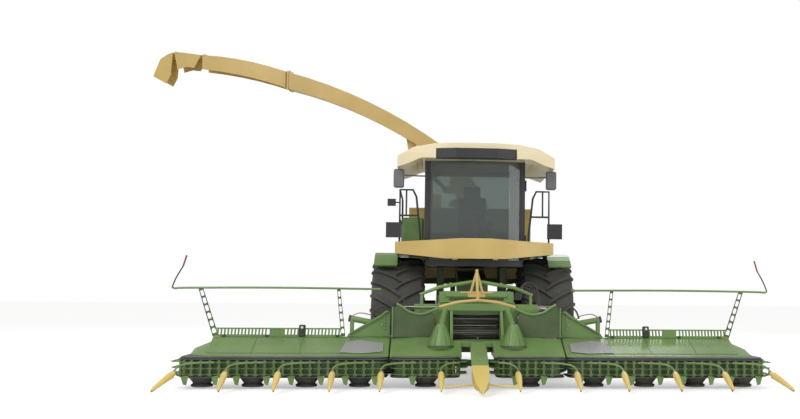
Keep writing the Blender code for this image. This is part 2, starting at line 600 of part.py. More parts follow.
# ---------------------------------------------------------------- cab
def cab():
    """Hollow cab: floor, frame with posts, glass, door, roof, visor, seat and steering column."""
    bow_front = CAB_FRONT_Y - SCREEN_BOW
    half = CAB_X - CAB_POST
    bow_r = (half ** 2 + SCREEN_BOW ** 2) / (2 * SCREEN_BOW)
    swing = degrees(asin(half / bow_r))
    bow_centre = (0.0, bow_front + bow_r)

    def bow(radius):
        """Arc of the windscreen's plan, from right to left."""
        return arc(bow_centre, radius, -90 - swing, -90 + swing, 9)

    front = [(x, y - SHELF) for x, y in bow(bow_r)]
    floor = [(-CAB_FLOOR_X, CAB_REAR_Y), (-CAB_FLOOR_X, CAB_FRONT_Y), *front, (CAB_FLOOR_X, CAB_FRONT_Y),
             (CAB_FLOOR_X, CAB_REAR_Y)]
    floor_top = CAB_FLOOR_Z + CAB_FLOOR_T
    column = [drum(0.05, (0, -0.86, floor_top - 0.02), (0, -0.74, 2.75), 12)]
    ring_points = [(0.19 * cos(angle), -0.73 - 0.08 * sin(angle), 2.77 - 0.07 * sin(angle))
                   for angle in [2 * pi * index / 16 for index in range(16)]]
    column.append(tube(ring_points, 0.016, cyclic=True, resolution=1))
    column.append(tube([(-0.19, -0.73, 2.77), (0.19, -0.73, 2.77)], 0.013, resolution=1))
    part("cab_floor", "black_plastic", [plate(floor, (CAB_FLOOR_Z, floor_top), "XY"), *column])

    low, high = floor_top + GAP, CAB_EAVE_Z - GAP
    post_x = (half, CAB_X)
    wall_y = (CAB_REAR_Y - CAB_WALL, CAB_REAR_Y)
    frame_shapes = both([span(post_x, (CAB_FRONT_Y, CAB_FRONT_Y + CAB_POST), (low, high)),
                         span(post_x, (CAB_REAR_Y - CAB_POST, CAB_REAR_Y), (low, high)),
                         span((half + 0.002, CAB_X - 0.002), (CAB_FRONT_Y + 0.01, CAB_REAR_Y - 0.01),
                              (high - CAB_RAIL, high - 0.002)),
                         span((CAB_X - CAB_WALL, CAB_X - 0.002), (CAB_FRONT_Y + 0.01, CAB_REAR_Y - 0.01),
                              (low + 0.002, low + CAB_SILL))])
    frame_shapes.append(span((-half - 0.01, half + 0.01), (wall_y[0], wall_y[1] - 0.002),
                             (low + 0.004, high - 0.004)))
    window = span((-half + 0.05, half - 0.05), (CAB_REAR_Y - 0.3, CAB_REAR_Y + 0.3),
                  (low + 0.55, high - CAB_POST))
    door_knuckle, fixed_knuckle = [], []
    hinge_point = (CAB_X + HINGE_R + 0.002, CAB_FRONT_Y + CAB_POST)
    for z in (low + 0.35, high - 0.40):
        moving, fixed = hinge((*hinge_point, z), (0, 0, 1), (1, 0, 0), (0, 1, 0))
        door_knuckle += moving
        fixed_knuckle += fixed
    part("cab_frame", "black_plastic", frame_shapes + fixed_knuckle, [window])

    screen = plate(bow(bow_r - 0.01) + bow(bow_r - 0.01 - GLASS)[::-1], (low, high), "XY")
    trim = span((-half + GAP, half - GAP), (bow_front - 0.1, CAB_FRONT_Y + CAB_POST), (low - 0.1, high + 0.1))
    mesh_screen = combine(screen, [trim], "INTERSECT")
    part("windscreen", "glass", [mesh_screen])
    part("rear_glass", "glass",
         [span((-half + 0.05 + GAP, half - 0.05 - GAP), (wall_y[0] + 0.02, wall_y[0] + 0.04),
                                      (low + 0.55 + GAP, high - CAB_POST - GAP))])

    opening_y = (CAB_FRONT_Y + CAB_POST, CAB_REAR_Y - CAB_POST)
    opening_z = (low + CAB_SILL, high - CAB_RAIL)
    part("cab_glass_right", "glass", [span((-CAB_X + 0.02, -CAB_X + 0.04),
                                           (opening_y[0] + GAP, opening_y[1] - GAP),
                                           (opening_z[0] + GAP, opening_z[1] - GAP))])
    door = [span((CAB_X - 0.04, CAB_X), (opening_y[0] + PANEL_CLEAR, opening_y[1] - PANEL_CLEAR),
                 (opening_z[0] + PANEL_CLEAR, opening_z[1] - PANEL_CLEAR))]
    pane_y = (opening_y[0] + 0.09, opening_y[1] - 0.09)
    pane_z = (opening_z[0] + 0.12, opening_z[1] - 0.08)
    hole = span((CAB_X - 0.1, CAB_X + 0.1), pane_y, pane_z)
    handle_y = pane_y[1] + 0.045
    handle = tube([(CAB_X - 0.01, handle_y, 2.55), (CAB_X + 0.05, handle_y, 2.57),
                   (CAB_X + 0.05, handle_y, 2.88), (CAB_X - 0.01, handle_y, 2.90)], 0.010)
    part("cab_door", "black_plastic", [*door, handle, *door_knuckle], [hole],
         pivot=(*hinge_point, (low + high) / 2))
    part("door_glass", "glass", [span((CAB_X - 0.03, CAB_X - 0.015), (pane_y[0] + GAP, pane_y[1] - GAP),
                                      (pane_z[0] + GAP, pane_z[1] - GAP))])

    eave, crown = CAB_EAVE_Z, CAB_EAVE_Z + ROOF_T
    gull = [(-ROOF_X, eave - 0.16), (-ROOF_X + 0.20, eave - 0.09), (-0.97, eave - 0.02), (-0.90, eave),
            (0.90, eave),
            (0.97, eave - 0.02), (ROOF_X - 0.20, eave - 0.09), (ROOF_X, eave - 0.16), (ROOF_X, eave + 0.02),
            (1.05, crown - 0.02), (0.70, crown + 0.05), (0.30, crown + 0.07), (-0.30, crown + 0.07),
            (-0.70, crown + 0.05), (-1.05, crown - 0.02), (-ROOF_X, eave + 0.02)]
    roof = [plate(gull, (ROOF_FRONT_Y, ROOF_REAR_Y), "XZ")]
    nose = span((-2, 2), (ROOF_FRONT_Y - 0.30, ROOF_FRONT_Y), (crown - 0.12, crown + 0.4),
                turn=Matrix.Rotation(radians(-16), 3, "X"), about=(0, ROOF_FRONT_Y, crown - 0.12))
    recess = span((-VISOR_X, VISOR_X), (ROOF_FRONT_Y - 0.2, VISOR_REAR_Y), (eave - 0.1, VISOR_TOP_Z))
    part("cab_roof", "pale_paint", roof, [nose, recess])
    visor_front = ROOF_FRONT_Y - 0.07
    visor = [(VISOR_X - GAP, VISOR_REAR_Y - GAP), (-VISOR_X + GAP, VISOR_REAR_Y - GAP),
             (-VISOR_X + GAP, ROOF_FRONT_Y + 0.03),
             (-0.35, visor_front), (0.35, visor_front), (VISOR_X - GAP, ROOF_FRONT_Y + 0.03)]
    part("cab_visor", "black_plastic", [plate(visor, (eave + GAP, VISOR_TOP_Z - GAP), "XY")])

    seat = [span((-0.26, 0.26), (-0.35, 0.17), (2.42, 2.58), bevel=0.03),
            span((-0.25, 0.25), (0.08, 0.24), (2.50, 3.18), bevel=0.03),
            span((-0.15, 0.15), (0.10, 0.22), (3.16, 3.38), bevel=0.02),
            span((-0.20, 0.20), (-0.30, 0.15), (low, 2.44)),
            span((0.24, 0.36), (-0.50, 0.05), (2.62, 2.72), bevel=0.02),
            span((0.24, 0.34), (-0.10, 0.02), (2.48, 2.64))]
    part("driver_seat", "seat_fabric", seat)


# ---------------------------------------------------------------- panels and walkways beside the cab
def tool_box():
    """Box on the right walkway."""
    return span((-1.24, -CAB_X - 0.01), (-0.80, -0.28), (PLATFORM_Z - 0.02, 2.74), bevel=0.03)


def ladder():
    """Steps hanging behind the left front wheel, with the landing that carries them."""
    near, far = BODY_X + 0.012, PLATFORM_X
    steps = [span((far - 0.04, far), (y, y + 0.04), (0.62, PLATFORM_Z - 0.01)) for y in (1.12, 1.56)]
    for index in range(5):
        z = 0.66 + index * 0.32
        steps.append(span((near, far - 0.01), (1.13, 1.59), (z, z + 0.035)))
    steps.append(span((near, far - 0.005), (PLATFORM_REAR_Y - 0.02, 1.59),
                      (PLATFORM_Z - PLATFORM_T + 0.005, PLATFORM_Z - 0.005)))
    return steps


def cab_surroundings():
    """Front panel, walkways, mudguards, railings, boards, mirrors, beacons and small boxes."""
    panel_r = (PANEL_X ** 2 + PANEL_BOW ** 2) / (2 * PANEL_BOW)
    swing = degrees(asin(PANEL_X / panel_r))
    centre = (0.0, PANEL_END_Y - PANEL_BOW + panel_r)
    outer = arc(centre, panel_r, -90 - swing, -90 + swing, 13)
    inner = arc(centre, panel_r - PANEL_T, -90 + swing, -90 - swing, 13)
    sheet = plate(outer + inner, (1.9, 2.5), "XY")
    face = [(-PANEL_X - 0.1, 2.12), (-0.50, 2.02), (0.50, 2.02), (PANEL_X + 0.1, 2.12), (PANEL_X + 0.1, 2.30),
            (0.75, 2.33), (0.25, 2.36), (-0.25, 2.36), (-0.75, 2.33), (-PANEL_X - 0.1, 2.30)]
    sheet = combine(sheet, [plate(face, (-3, 0), "XZ")], "INTERSECT")
    floor_top = CAB_FLOOR_Z + CAB_FLOOR_T
    brackets = both([span((0.30, 0.38), (PANEL_END_Y - PANEL_BOW + 0.05, CAB_FRONT_Y - SCREEN_BOW - 0.03),
                          (floor_top + GAP, floor_top + 0.07))])
    part("front_panel", "yellow_paint", [sheet, *brackets])

    plate_z = (PLATFORM_Z - PLATFORM_T, PLATFORM_Z)
    guard_r = FRONT_TYRE_R + 0.04
    wing = arc((0, FRONT_AXLE_Z), guard_r + 0.03, 38, 128, 10) + arc((0, FRONT_AXLE_Z), guard_r, 128, 38, 10)
    for side_name, side in SIDES:
        def mirror(limits, sign=side):
            """Limits on this side of the machine."""
            return tuple(sorted(sign * value for value in limits))

        inner_x = CAB_X + GAP
        walkway = [span(mirror((inner_x, PLATFORM_X)), (PLATFORM_FRONT_Y, PLATFORM_REAR_Y), plate_z),
                   plate(wing, mirror((PLATFORM_X - 0.01, PLATFORM_X + 0.39)), "YZ")]
        walkway += ladder() if side > 0 else [tool_box()]
        part(f"walkway_{side_name}", "green_paint", walkway)

        foot = PLATFORM_Z + GAP
        top = RAILING_TOP_Z
        loop = [(0.93, foot), (0.93, 2.42), (1.00, 3.08), (1.06, top), (RAILING_X, top), (RAILING_X, foot)]
        rails = [tube([(side * x, RAILING_Y, z) for x, z in loop], RAIL_TUBE_R, resolution=1),
                 tube([(side * 0.97, RAILING_Y, 2.76), (side * RAILING_X, RAILING_Y, 2.76)], RAIL_TUBE_R,
                      resolution=1),
                 tube([(side * 1.17, RAILING_Y, 2.76), (side * 1.17, RAILING_Y, top)], RAIL_TUBE_R * 0.8,
                      resolution=1)]
        if side < 0:
            rear_y = PLATFORM_REAR_Y - 0.05
            rails.append(tube([(-RAILING_X, RAILING_Y, top - 0.02), (-RAILING_X, rear_y - 0.12, top - 0.02),
                               (-RAILING_X, rear_y, top - 0.14), (-RAILING_X, rear_y, foot)], RAIL_TUBE_R,
                              resolution=1))
            rails.append(tube([(-RAILING_X, RAILING_Y, 2.70), (-RAILING_X, rear_y, 2.70)], RAIL_TUBE_R * 0.8,
                              resolution=1))
            rails.append(tube([(-RAILING_X, RAILING_Y, 2.98), (-1.36, RAILING_Y, 2.98)], 0.012, resolution=1))
            rails.append(span((-1.49, -1.35), (RAILING_Y - 0.03, RAILING_Y + 0.03), (2.92, 3.04)))
        board_x = mirror((RAILING_X - 0.03, RAILING_X - 0.03 + BOARD_SIDE))
        rails.append(span(board_x, (RAILING_Y - RAIL_TUBE_R - 0.012, RAILING_Y - RAIL_TUBE_R + 0.008),
                          (2.38, 2.38 + BOARD_SIDE)))
        part(f"railing_{side_name}", "green_paint", rails)

        mirror_y = CAB_FRONT_Y - 0.06
        housing = [span(mirror((MIRROR_X - 0.09, MIRROR_X + 0.09)), (mirror_y - 0.06, mirror_y + 0.04),
                        (3.22, 3.54),
                        bevel=0.025),
                   tube([(side * (CAB_X + GAP), CAB_FRONT_Y + 0.05, 3.44),
                         (side * (CAB_X + 0.10), CAB_FRONT_Y + 0.05, 3.44),
                         (side * (MIRROR_X - 0.05), mirror_y, 3.44)], 0.014, resolution=1)]
        part(f"mirror_{side_name}", "grey_plastic", housing)


# ---------------------------------------------------------------- rear body
def rear_body():
    """Shell of the engine bay with its roof, side doors and rear grille door."""
    low, top, rear = BODY_LOW_Z, BODY_TOP_Z - 0.05, BODY_REAR_Y
    side = [(BODY_FRONT_Y, low), (rear, low), (rear, top - BODY_DROP), (BODY_SLOPE_Y, top),
            (BODY_FRONT_Y, top)]
    inner = BODY_X - BODY_WALL + 0.01
    shell = both([plate(side, (BODY_X - BODY_WALL, BODY_X), "YZ")])
    shell.append(span((-inner, inner), (BODY_FRONT_Y + 0.002, BODY_FRONT_Y + BODY_WALL),
                      (low + 0.002, top - 0.002)))
    shell.append(span((-inner, inner), (rear - BODY_WALL, rear - 0.002),
                      (low + 0.002, top - BODY_DROP - 0.002)))
    channel_cut = span((-CHANNEL_X - 0.02, CHANNEL_X + 0.02), (BODY_FRONT_Y - 0.2, BODY_FRONT_Y + 0.2),
                       (low - 0.2, 2.32))
    cuts = [channel_cut, span((-GRILLE_X, GRILLE_X), (rear - 0.2, rear + 0.2), GRILLE_Z)]
    cuts += both([span((BODY_X - 0.2, BODY_X + 0.2), DOOR_Y, DOOR_Z)])

    hinge_x = BODY_X + HINGE_R + 0.002
    for side_name, sign in SIDES:
        door = [span(sorted((sign * (BODY_X - BODY_WALL + 0.005), sign * BODY_X)),
                     (DOOR_Y[0] + PANEL_CLEAR, DOOR_Y[1] - PANEL_CLEAR),
                     (DOOR_Z[0] + PANEL_CLEAR, DOOR_Z[1] - PANEL_CLEAR))]
        for y in (DOOR_Y[0] + 0.5, DOOR_Y[1] - 0.5):
            moving, fixed = hinge((sign * hinge_x, y, DOOR_Z[1]), (0, 1, 0), (sign, 0, 0), (0, 0, -1))
            door += moving
            shell += fixed
        part(f"service_door_{side_name}", "yellow_paint", door,
             pivot=(sign * hinge_x, (DOOR_Y[0] + DOOR_Y[1]) / 2, DOOR_Z[1]))

    grille = [span((-GRILLE_X + PANEL_CLEAR, GRILLE_X - PANEL_CLEAR), (rear - BODY_WALL + 0.005, rear),
                   (GRILLE_Z[0] + PANEL_CLEAR, GRILLE_Z[1] - PANEL_CLEAR))]
    hinge_y = rear + HINGE_R + 0.002
    for z in (GRILLE_Z[0] + 0.15, GRILLE_Z[1] - 0.15):
        moving, fixed = hinge((GRILLE_X, hinge_y, z), (0, 0, 1), (0, 1, 0), (-1, 0, 0))
        grille += moving
        shell += fixed
    part("rear_grille", "black_plastic", grille, pivot=(GRILLE_X, hinge_y, sum(GRILLE_Z) / 2))
    part("body_shell", "yellow_paint", shell, cuts)

    seat = top + GAP
    roof = [(BODY_FRONT_Y, seat), (BODY_SLOPE_Y, seat), (rear, seat - BODY_DROP),
            (rear, seat - BODY_DROP + 0.05),
            (BODY_SLOPE_Y + 0.01, seat + 0.05), (BODY_FRONT_Y, seat + 0.05)]
    cover = [plate(roof, (-BODY_X, BODY_X), "YZ"),
             drum(0.10, (-0.62, 3.75, seat + 0.02), (-0.62, 3.75, seat + 0.55), 16),
             span((-0.30, 0.90), (2.95, 4.05), (seat + 0.03, seat + 0.14), bevel=0.02)]
    opening = span((-CHANNEL_X - 0.02, CHANNEL_X + 0.02), (SPOUT_Y - 0.38, SPOUT_Y + 0.35),
                   (seat - 0.2, seat + 0.2))
    part("body_roof", "yellow_paint", cover, [opening])


# ---------------------------------------------------------------- spout
def bowed(start, end, rise, count):
    """Points of a circular arc between two points, with its middle raised off the chord."""
    chord = Vector(end) - Vector(start)
    half = chord.length / 2
    radius = (half ** 2 + rise ** 2) / (2 * rise)
    swing = asin(half / radius)
    normal = Vector((-chord.y, chord.x)).normalized()
    centre = (Vector(start) + Vector(end)) / 2 - normal * (radius - rise)
    return [tuple(centre + radius * (normal * cos(angle) + chord.normalized() * sin(angle)))
            for angle in [-swing + 2 * swing * index / (count - 1) for index in range(count)]]


def spout():
    """Slew ring, turning base, two chutes, end flaps and the lift cylinder."""
    place = Matrix.Translation((0, SPOUT_Y, 0)) @ Matrix.Rotation(radians(SPOUT_REST_DEG), 4, "Z")
    half = SPOUT_HALF_W

    def pivot_at(point):
        """World place of a point given in the spout's own plane."""
        return tuple(place @ Vector((point[0], 0.0, point[1])))

    ring_low, ring_top = CHANNEL_TOP_Z + GAP, CHANNEL_TOP_Z + 0.07
    ring = [(0.24, ring_top), (SPOUT_RING_R + 0.03, ring_top), (SPOUT_RING_R + 0.03, ring_low),
            (0.24, ring_low)]
    part("spout_ring", "green_paint", [turned(ring, (0, SPOUT_Y, 0), "Z", 28)])

    disc_low = ring_top + GAP
    housing = [(-0.21, disc_low + 0.03), (0.21, disc_low + 0.03), (0.25, 3.50), (0.37, 3.62), (0.30, 3.79),
               (0.0, 3.79),
               (-0.17, 3.58)]
    cheek = [(0.04, 3.55), (0.36, 3.58), (0.28, 3.97), (0.12, 3.97)]
    lug = [(0.28, 3.40), (0.50, 3.44), (0.50, 3.55), (0.30, 3.60)]
    base = [drum(SPOUT_RING_R, (0, 0, disc_low), (0, 0, disc_low + 0.05), 28),
            plate(housing, (-half - 0.02, half + 0.02), "XZ"),
            plate(cheek, (half + 0.008, half + 0.03), "XZ"),
            plate(cheek, (-half - 0.03, -half - 0.008), "XZ"),
            plate(lug, (-0.02, 0.02), "XZ")]
    part("spout_base", "yellow_paint", base, pivot=(0, SPOUT_Y, 0), place=place)

    moving, fixed = hinge((SPOUT_FOLD[0], 0, SPOUT_FOLD[1]), (0, 1, 0), (0, 0, 1), (1, 0, 0))
    root_top, root_low = (0.10, 4.05), (0.42, 3.95)
    end_top, end_low = (SPOUT_FOLD[0] - 0.012, 5.895), (SPOUT_FOLD[0] - 0.012, 5.56)
    inner_outline = (bowed(root_top, end_top, 0.21, 10) + bowed(root_low, end_low, 0.19, 10)[::-1]
                     + [(0.30, 3.86), (0.10, 3.86)])
    eye_lug = [(LIFT_EYE[0] - 0.07, LIFT_EYE[1] - 0.03), (LIFT_EYE[0] + 0.06, LIFT_EYE[1] - 0.03),
               (LIFT_EYE[0] + 0.12, LIFT_EYE[1] + 0.35), (LIFT_EYE[0] - 0.10, LIFT_EYE[1] + 0.30)]
    boss = drum(0.06, (SPOUT_LIFT[0], -half - 0.008 + GAP, SPOUT_LIFT[1]),
                (SPOUT_LIFT[0], half + 0.008 - GAP, SPOUT_LIFT[1]), 16)
    flange = span((end_top[0] - 0.03, end_top[0]), (-half - 0.02, half + 0.02),
                  (end_low[1] - 0.02, end_top[1] + 0.01))
    part("spout_inner", "yellow_paint",
         [plate(inner_outline, (-half, half), "XZ"), plate(eye_lug, (-0.02, 0.02), "XZ"), boss,
                                          flange, *fixed], pivot=pivot_at(SPOUT_LIFT), place=place)

    def channel(top_points, low_points):
        """Chute open underneath, with the cutter that hollows it."""
        solid = plate(top_points + low_points[::-1], (-half, half), "XZ")
        first, last = top_points[0], top_points[-1]
        under = [(first[0] - 0.05, first[1] - 0.03), *[(s, z - 0.02) for s, z in top_points[1:-1]],
                 (last[0] + 0.05, last[1] - 0.03), (last[0] + 0.05, 5.2), (first[0] - 0.05, 5.2)]
        return solid, plate(under, (SPOUT_WALL - half, half - SPOUT_WALL), "XZ")

    flap_moving, flap_fixed = hinge((FLAP_HINGE[0], 0, FLAP_HINGE[1]), (0, 1, 0), (0, 0, 1), (1, 0, 0))
    start_s = SPOUT_FOLD[0] + 0.012
    solid, hollow = channel(bowed((start_s, 5.90), (5.51, 6.262), 0.06, 6),
                            bowed((start_s, 5.57), (5.51, 5.97), 0.05, 6))
    flange = span((start_s, start_s + 0.03), (-half - 0.02, half + 0.02), (5.56, 5.905))
    part("spout_outer", "yellow_paint", [solid, flange, *moving, *flap_fixed], [hollow],
         pivot=pivot_at(SPOUT_FOLD), place=place)

    tip_moving, tip_fixed = hinge((FLAP_TIP_HINGE[0], 0, FLAP_TIP_HINGE[1]), (0, 1, 0), (0, 0, 1), (1, 0, 0))
    solid, hollow = channel([(5.54, 6.262), (5.95, 6.322), (6.11, 6.322)],
                            [(5.68, 6.00), (5.85, 6.02), (6.03, 5.97)])
    part("spout_flap", "yellow_paint", [solid, *flap_moving, *tip_fixed], [hollow],
         pivot=pivot_at(FLAP_HINGE), place=place)
    tip_outline = [(6.14, 6.322), (6.24, 6.29), (6.40, 6.19), (6.54, 5.83), (6.26, 5.68), (6.17, 5.86)]
    tip_cut = [(6.05, 6.27), (6.22, 6.26), (6.38, 6.16), (6.60, 5.60), (6.05, 5.30)]
    part("spout_flap_tip", "yellow_paint", [plate(tip_outline, (-half, half), "XZ"), *tip_moving],
         [plate(tip_cut, (SPOUT_WALL - half, half - SPOUT_WALL), "XZ")], pivot=pivot_at(FLAP_TIP_HINGE),
         place=place)

    line = Vector((LIFT_EYE[0] - LIFT_FOOT[0], 0.0, LIFT_EYE[1] - LIFT_FOOT[1]))
    foot, eye, run = Vector((LIFT_FOOT[0], 0.075, LIFT_FOOT[1])), Vector((LIFT_EYE[0], 0.075,
                                                                          LIFT_EYE[1])), line.normalized()
    side_face = 0.02 + GAP
    barrel = [drum(0.045, foot, foot + run * 0.60, 14),
              drum(0.05, (LIFT_FOOT[0], side_face, LIFT_FOOT[1]), (LIFT_FOOT[0], 0.12, LIFT_FOOT[1]), 14)]
    part("lift_barrel", "green_paint", barrel, [drum(0.030, foot + run * 0.12, foot + run * 0.7, 14)],
         pivot=pivot_at(LIFT_FOOT), place=place)
    rod = [drum(0.028, foot + run * 0.42, eye, 14),
           drum(0.040, (LIFT_EYE[0], side_face, LIFT_EYE[1]), (LIFT_EYE[0], 0.12, LIFT_EYE[1]), 14)]
    part("lift_rod", "chrome", rod, pivot=pivot_at(LIFT_EYE), place=place)


# ---------------------------------------------------------------- header
def deck_outline():
    """Side view of a deck: sloping top, level rear, flat underside."""
    return [(DECK_FRONT_Y, DECK_LOW_Z), (DECK_REAR_Y, DECK_LOW_Z), (DECK_REAR_Y, DECK_REAR_Z),
            (DECK_BREAK_Y, DECK_REAR_Z), (DECK_FRONT_Y, DECK_FRONT_Z)]


def collector(inner_x, outer_x, skids_x):
    """One side's collector loop with its skids, as plan outline and pucks."""
    corner = 0.14
    plan = [(inner_x, COLLECTOR_REAR_Y), (inner_x, COLLECTOR_FRONT_Y + corner),
            (inner_x + corner, COLLECTOR_FRONT_Y),
            (outer_x - corner, COLLECTOR_FRONT_Y), (outer_x, COLLECTOR_FRONT_Y + corner),
            (outer_x, COLLECTOR_REAR_Y)]
    shapes = [plate(plan, (COLLECTOR_LOW_Z, DECK_LOW_Z - GAP), "XY")]
    for x in skids_x:
        shapes.append(drum(0.17, (x, COLLECTOR_FRONT_Y + 0.25, SKID_LOW_Z),
                           (x, COLLECTOR_FRONT_Y + 0.25, 0.20), 16,
                           end_radius=0.20))
    return shapes


def divider_tip(x, outwards=0.0):
    """Pointed tip of a crop divider."""
    return drum(0.052, (x, TIP_Y[0], TIP_Z[0]), (x + outwards, TIP_Y[1], TIP_Z[1]), 12, end_radius=0.012)


def header_middle():
    """Middle of the header: frame with deck and cones, collector, divider, points and crop bow."""
    deck_x = (DIVIDER_X + 0.14, FOLD_X - FOLD_CLEAR)
    cheek = [(CONE_Y + 0.05, 0.60), (DECK_REAR_Y, 0.60), (DECK_REAR_Y, 1.16), (-2.02, 1.16),
             (CONE_Y + 0.05, 0.80)]
    shapes = both([plate(deck_outline(), deck_x, "YZ"),
                   plate(cheek, (INTAKE_X + 0.001, INTAKE_X + 0.045), "YZ"),
                   span((0.44, 0.60), (-1.98, DECK_REAR_Y - 0.002), (0.60, 1.47)),
                   span((0.55, 1.00), (-1.96, -1.92), (0.95, 1.27)),
                   span((0.92, 0.98), (-1.965, -1.905), (0.70, 1.20)),
                   drum(CONE_R, (CONE_X, CONE_Y, 0.58), (CONE_X, CONE_Y, 0.945), 20, end_radius=0.072),
                   drum(0.045, (CONE_X, CONE_Y, 0.90), (0.50, -1.97, 1.19), 12)])
    shapes.append(span((-0.60, 0.60), (DECK_REAR_Y - 0.01, FEEDER_FRONT_Y - GAP), (0.58, 1.32)))
    shapes.append(span((-0.55, 0.55), (-1.99, -1.90), (1.375, 1.48)))
    shapes.append(span((-0.62, 0.62), (-1.995, -1.895), (1.15, 1.30)))
    shapes.append(span((-deck_x[1] + 0.01, deck_x[1] - 0.01), (-2.01, DECK_REAR_Y - 0.003), (0.50, 0.69)))
    shapes.append(span((-INTAKE_X - 0.02, INTAKE_X + 0.02), (BAR_FRONT_Y + 0.01, -1.95), (0.60, 0.695)))
    arch = [(x, ARCH_Y, z) for x, z in ((-0.88, 1.10), (-0.88, 1.43), (-0.60, 1.54), (0, 1.64), (0.60, 1.54),
                                        (0.88, 1.43), (0.88, 1.10))]
    shapes.append(tube(arch, 0.03))
    wing_knuckles = {}
    for side_name, side in SIDES:
        moving, fixed = hinge((side * FOLD_X, (DECK_BREAK_Y + DECK_REAR_Y) / 2, FOLD_Z), (0, 1, 0),
                              (0, 0, 1), (side, 0, 0))
        wing_knuckles[side_name] = moving
        shapes += fixed
    intake = span((-INTAKE_X, INTAKE_X), (-2.30, -1.80), (INTAKE_LOW_Z, INTAKE_TOP_Z))
    part("header_frame", "green_paint", shapes, [intake])

    loops = both(collector(DIVIDER_X + 0.16, FOLD_X - FOLD_CLEAR, (0.80,)))
    loops.append(span((-0.6, 0.6), (BAR_FRONT_Y, BAR_FRONT_Y + 0.07), (0.30, 0.40)))
    part("collector_middle", "dark_green_paint", loops)

    nose_y = TIP_Y[0] - 0.10
    blade = [(BAR_FRONT_Y - GAP, 0.25), (BAR_FRONT_Y - GAP, 0.58), (-2.42, 0.72), (-2.60, 0.70),
             (nose_y, 0.39), (nose_y, 0.24),
             (COLLECTOR_FRONT_Y, 0.16)]
    part("centre_divider", "green_paint", [plate(blade, (-DIVIDER_X, DIVIDER_X), "YZ")])

    points = [drum(0.115, (0, nose_y - 0.04, 0.315), (0, -4.30, 0.060), 12, end_radius=0.015),
              span((-0.085, 0.085), (nose_y - 0.09, nose_y - GAP), (0.25, 0.38))]
    for side in (1, -1):
        points.append(divider_tip(side * CENTRE_TIP_X))
        points.append(tube([(side * CENTRE_TIP_X, TIP_Y[0] - 0.12, 0.215), (0, TIP_Y[0] - 0.30, 0.20)], 0.02))
        root = (side * CENTRE_TIP_X, COLLECTOR_FRONT_Y - GAP, 0.29)
        points.append(tube([root, (root[0], root[1] - 0.05, 0.29), (root[0], TIP_Y[0] - 0.02, 0.27)], 0.02))
    part("middle_tips", "yellow_paint", points)

    beam_face = -1.99 - GAP
    bow = [(-0.60, -2.36, 1.23), (-0.30, -2.42, 1.31), (0, -2.45, 1.34), (0.30, -2.42, 1.31),
           (0.60, -2.36, 1.23)]
    bow_shapes = [span((-0.14, 0.14), (beam_face - 0.03, beam_face), (1.385, 1.475)), tube(bow, 0.024),
                  tube([(0, -2.45, 1.34), (0, -2.20, 1.56), (0, beam_face - 0.025, 1.82)], 0.024),
                  tube([(-0.26, beam_face - 0.02, 1.455), (0.26, beam_face - 0.02, 1.455)], 0.016)]
    bow_shapes += both([tube([(0.10, beam_face - 0.022, 1.44), (0.0, beam_face - 0.022, 1.80)], 0.020)])
    part("crop_bow", "yellow_paint", bow_shapes)
    return wing_knuckles


def header_wing(side_name, side, knuckle):
    """Folding wing of the header: deck with guard, collector and divider tips."""
    pivot = (side * FOLD_X, (DECK_BREAK_Y + DECK_REAR_Y) / 2, FOLD_Z)
    inner = FOLD_X + FOLD_CLEAR

    def onto_side(shapes):
        """Shapes made for the left side, mirrored when this is the right one."""
        if side > 0:
            return shapes
        flipped = [mirrored(shape) for shape in shapes]
        for shape in shapes:
            bpy.data.objects.remove(shape, do_unlink=True)
        return flipped

    end_plate = [(DECK_FRONT_Y, DECK_LOW_Z), (DECK_REAR_Y, DECK_LOW_Z), (DECK_REAR_Y, 0.60),
                 (DECK_BREAK_Y, 0.60),
                 (DECK_FRONT_Y + 0.1, DECK_FRONT_Z)]
    post_y = (GUARD_Y - 0.012, GUARD_Y + 0.012)
    outer_post = [(4.07, 0.70), (4.15, 0.70), (4.37, GUARD_TOP_Z), (4.31, GUARD_TOP_Z)]
    inner_post = [(2.08, 0.70), (2.15, 0.70), (2.22, GUARD_TOP_Z), (2.17, GUARD_TOP_Z)]
    deck = [plate(deck_outline(), (inner, DECK_END_X), "YZ"),
            plate(end_plate, (DECK_END_X - 0.02, 4.46), "YZ"),
            plate(outer_post, post_y, "XZ"), plate(inner_post, post_y, "XZ"),
            tube([(1.53, GUARD_Y, GUARD_TOP_Z), (4.79, GUARD_Y, GUARD_TOP_Z), (4.58, GUARD_Y, 2.00)], 0.014),
            span((2.11, 4.12), (GUARD_Y - 0.008, GUARD_Y + 0.008), (0.79, 0.86)),
            tube([(1.50, -1.98, 0.93), (2.00, -1.98, 1.00)], 0.032),
            span((1.46, 1.54), (-2.02, -1.94), (0.72, 0.96)),
            span((1.96, 2.04), (-2.02, -1.94), (0.72, 1.03))]
    part(f"wing_deck_{side_name}", "green_paint", onto_side(deck) + knuckle, pivot=pivot)

    loops = collector(inner, HEADER_X, (1.80, 2.60, 3.40, 4.15))
    part(f"collector_{side_name}", "dark_green_paint", onto_side(loops), pivot=pivot)

    bar_y = (COLLECTOR_FRONT_Y - GAP - 0.03, COLLECTOR_FRONT_Y - GAP)
    tips = [span((inner + 0.15, HEADER_X - 0.15), bar_y, (0.27, 0.31))]
    for x in WING_TIPS_X:
        last = x == WING_TIPS_X[-1]
        root_x = min(x, HEADER_X - 0.18)
        tips.append(divider_tip(x, outwards=0.20 if last else 0.0))
        tips.append(tube([(max(root_x, inner + 0.18), bar_y[1] - 0.02, 0.29), (x, TIP_Y[0] - 0.03, 0.265)],
                         0.018))
    part(f"tips_{side_name}", "yellow_paint", onto_side(tips), pivot=pivot)


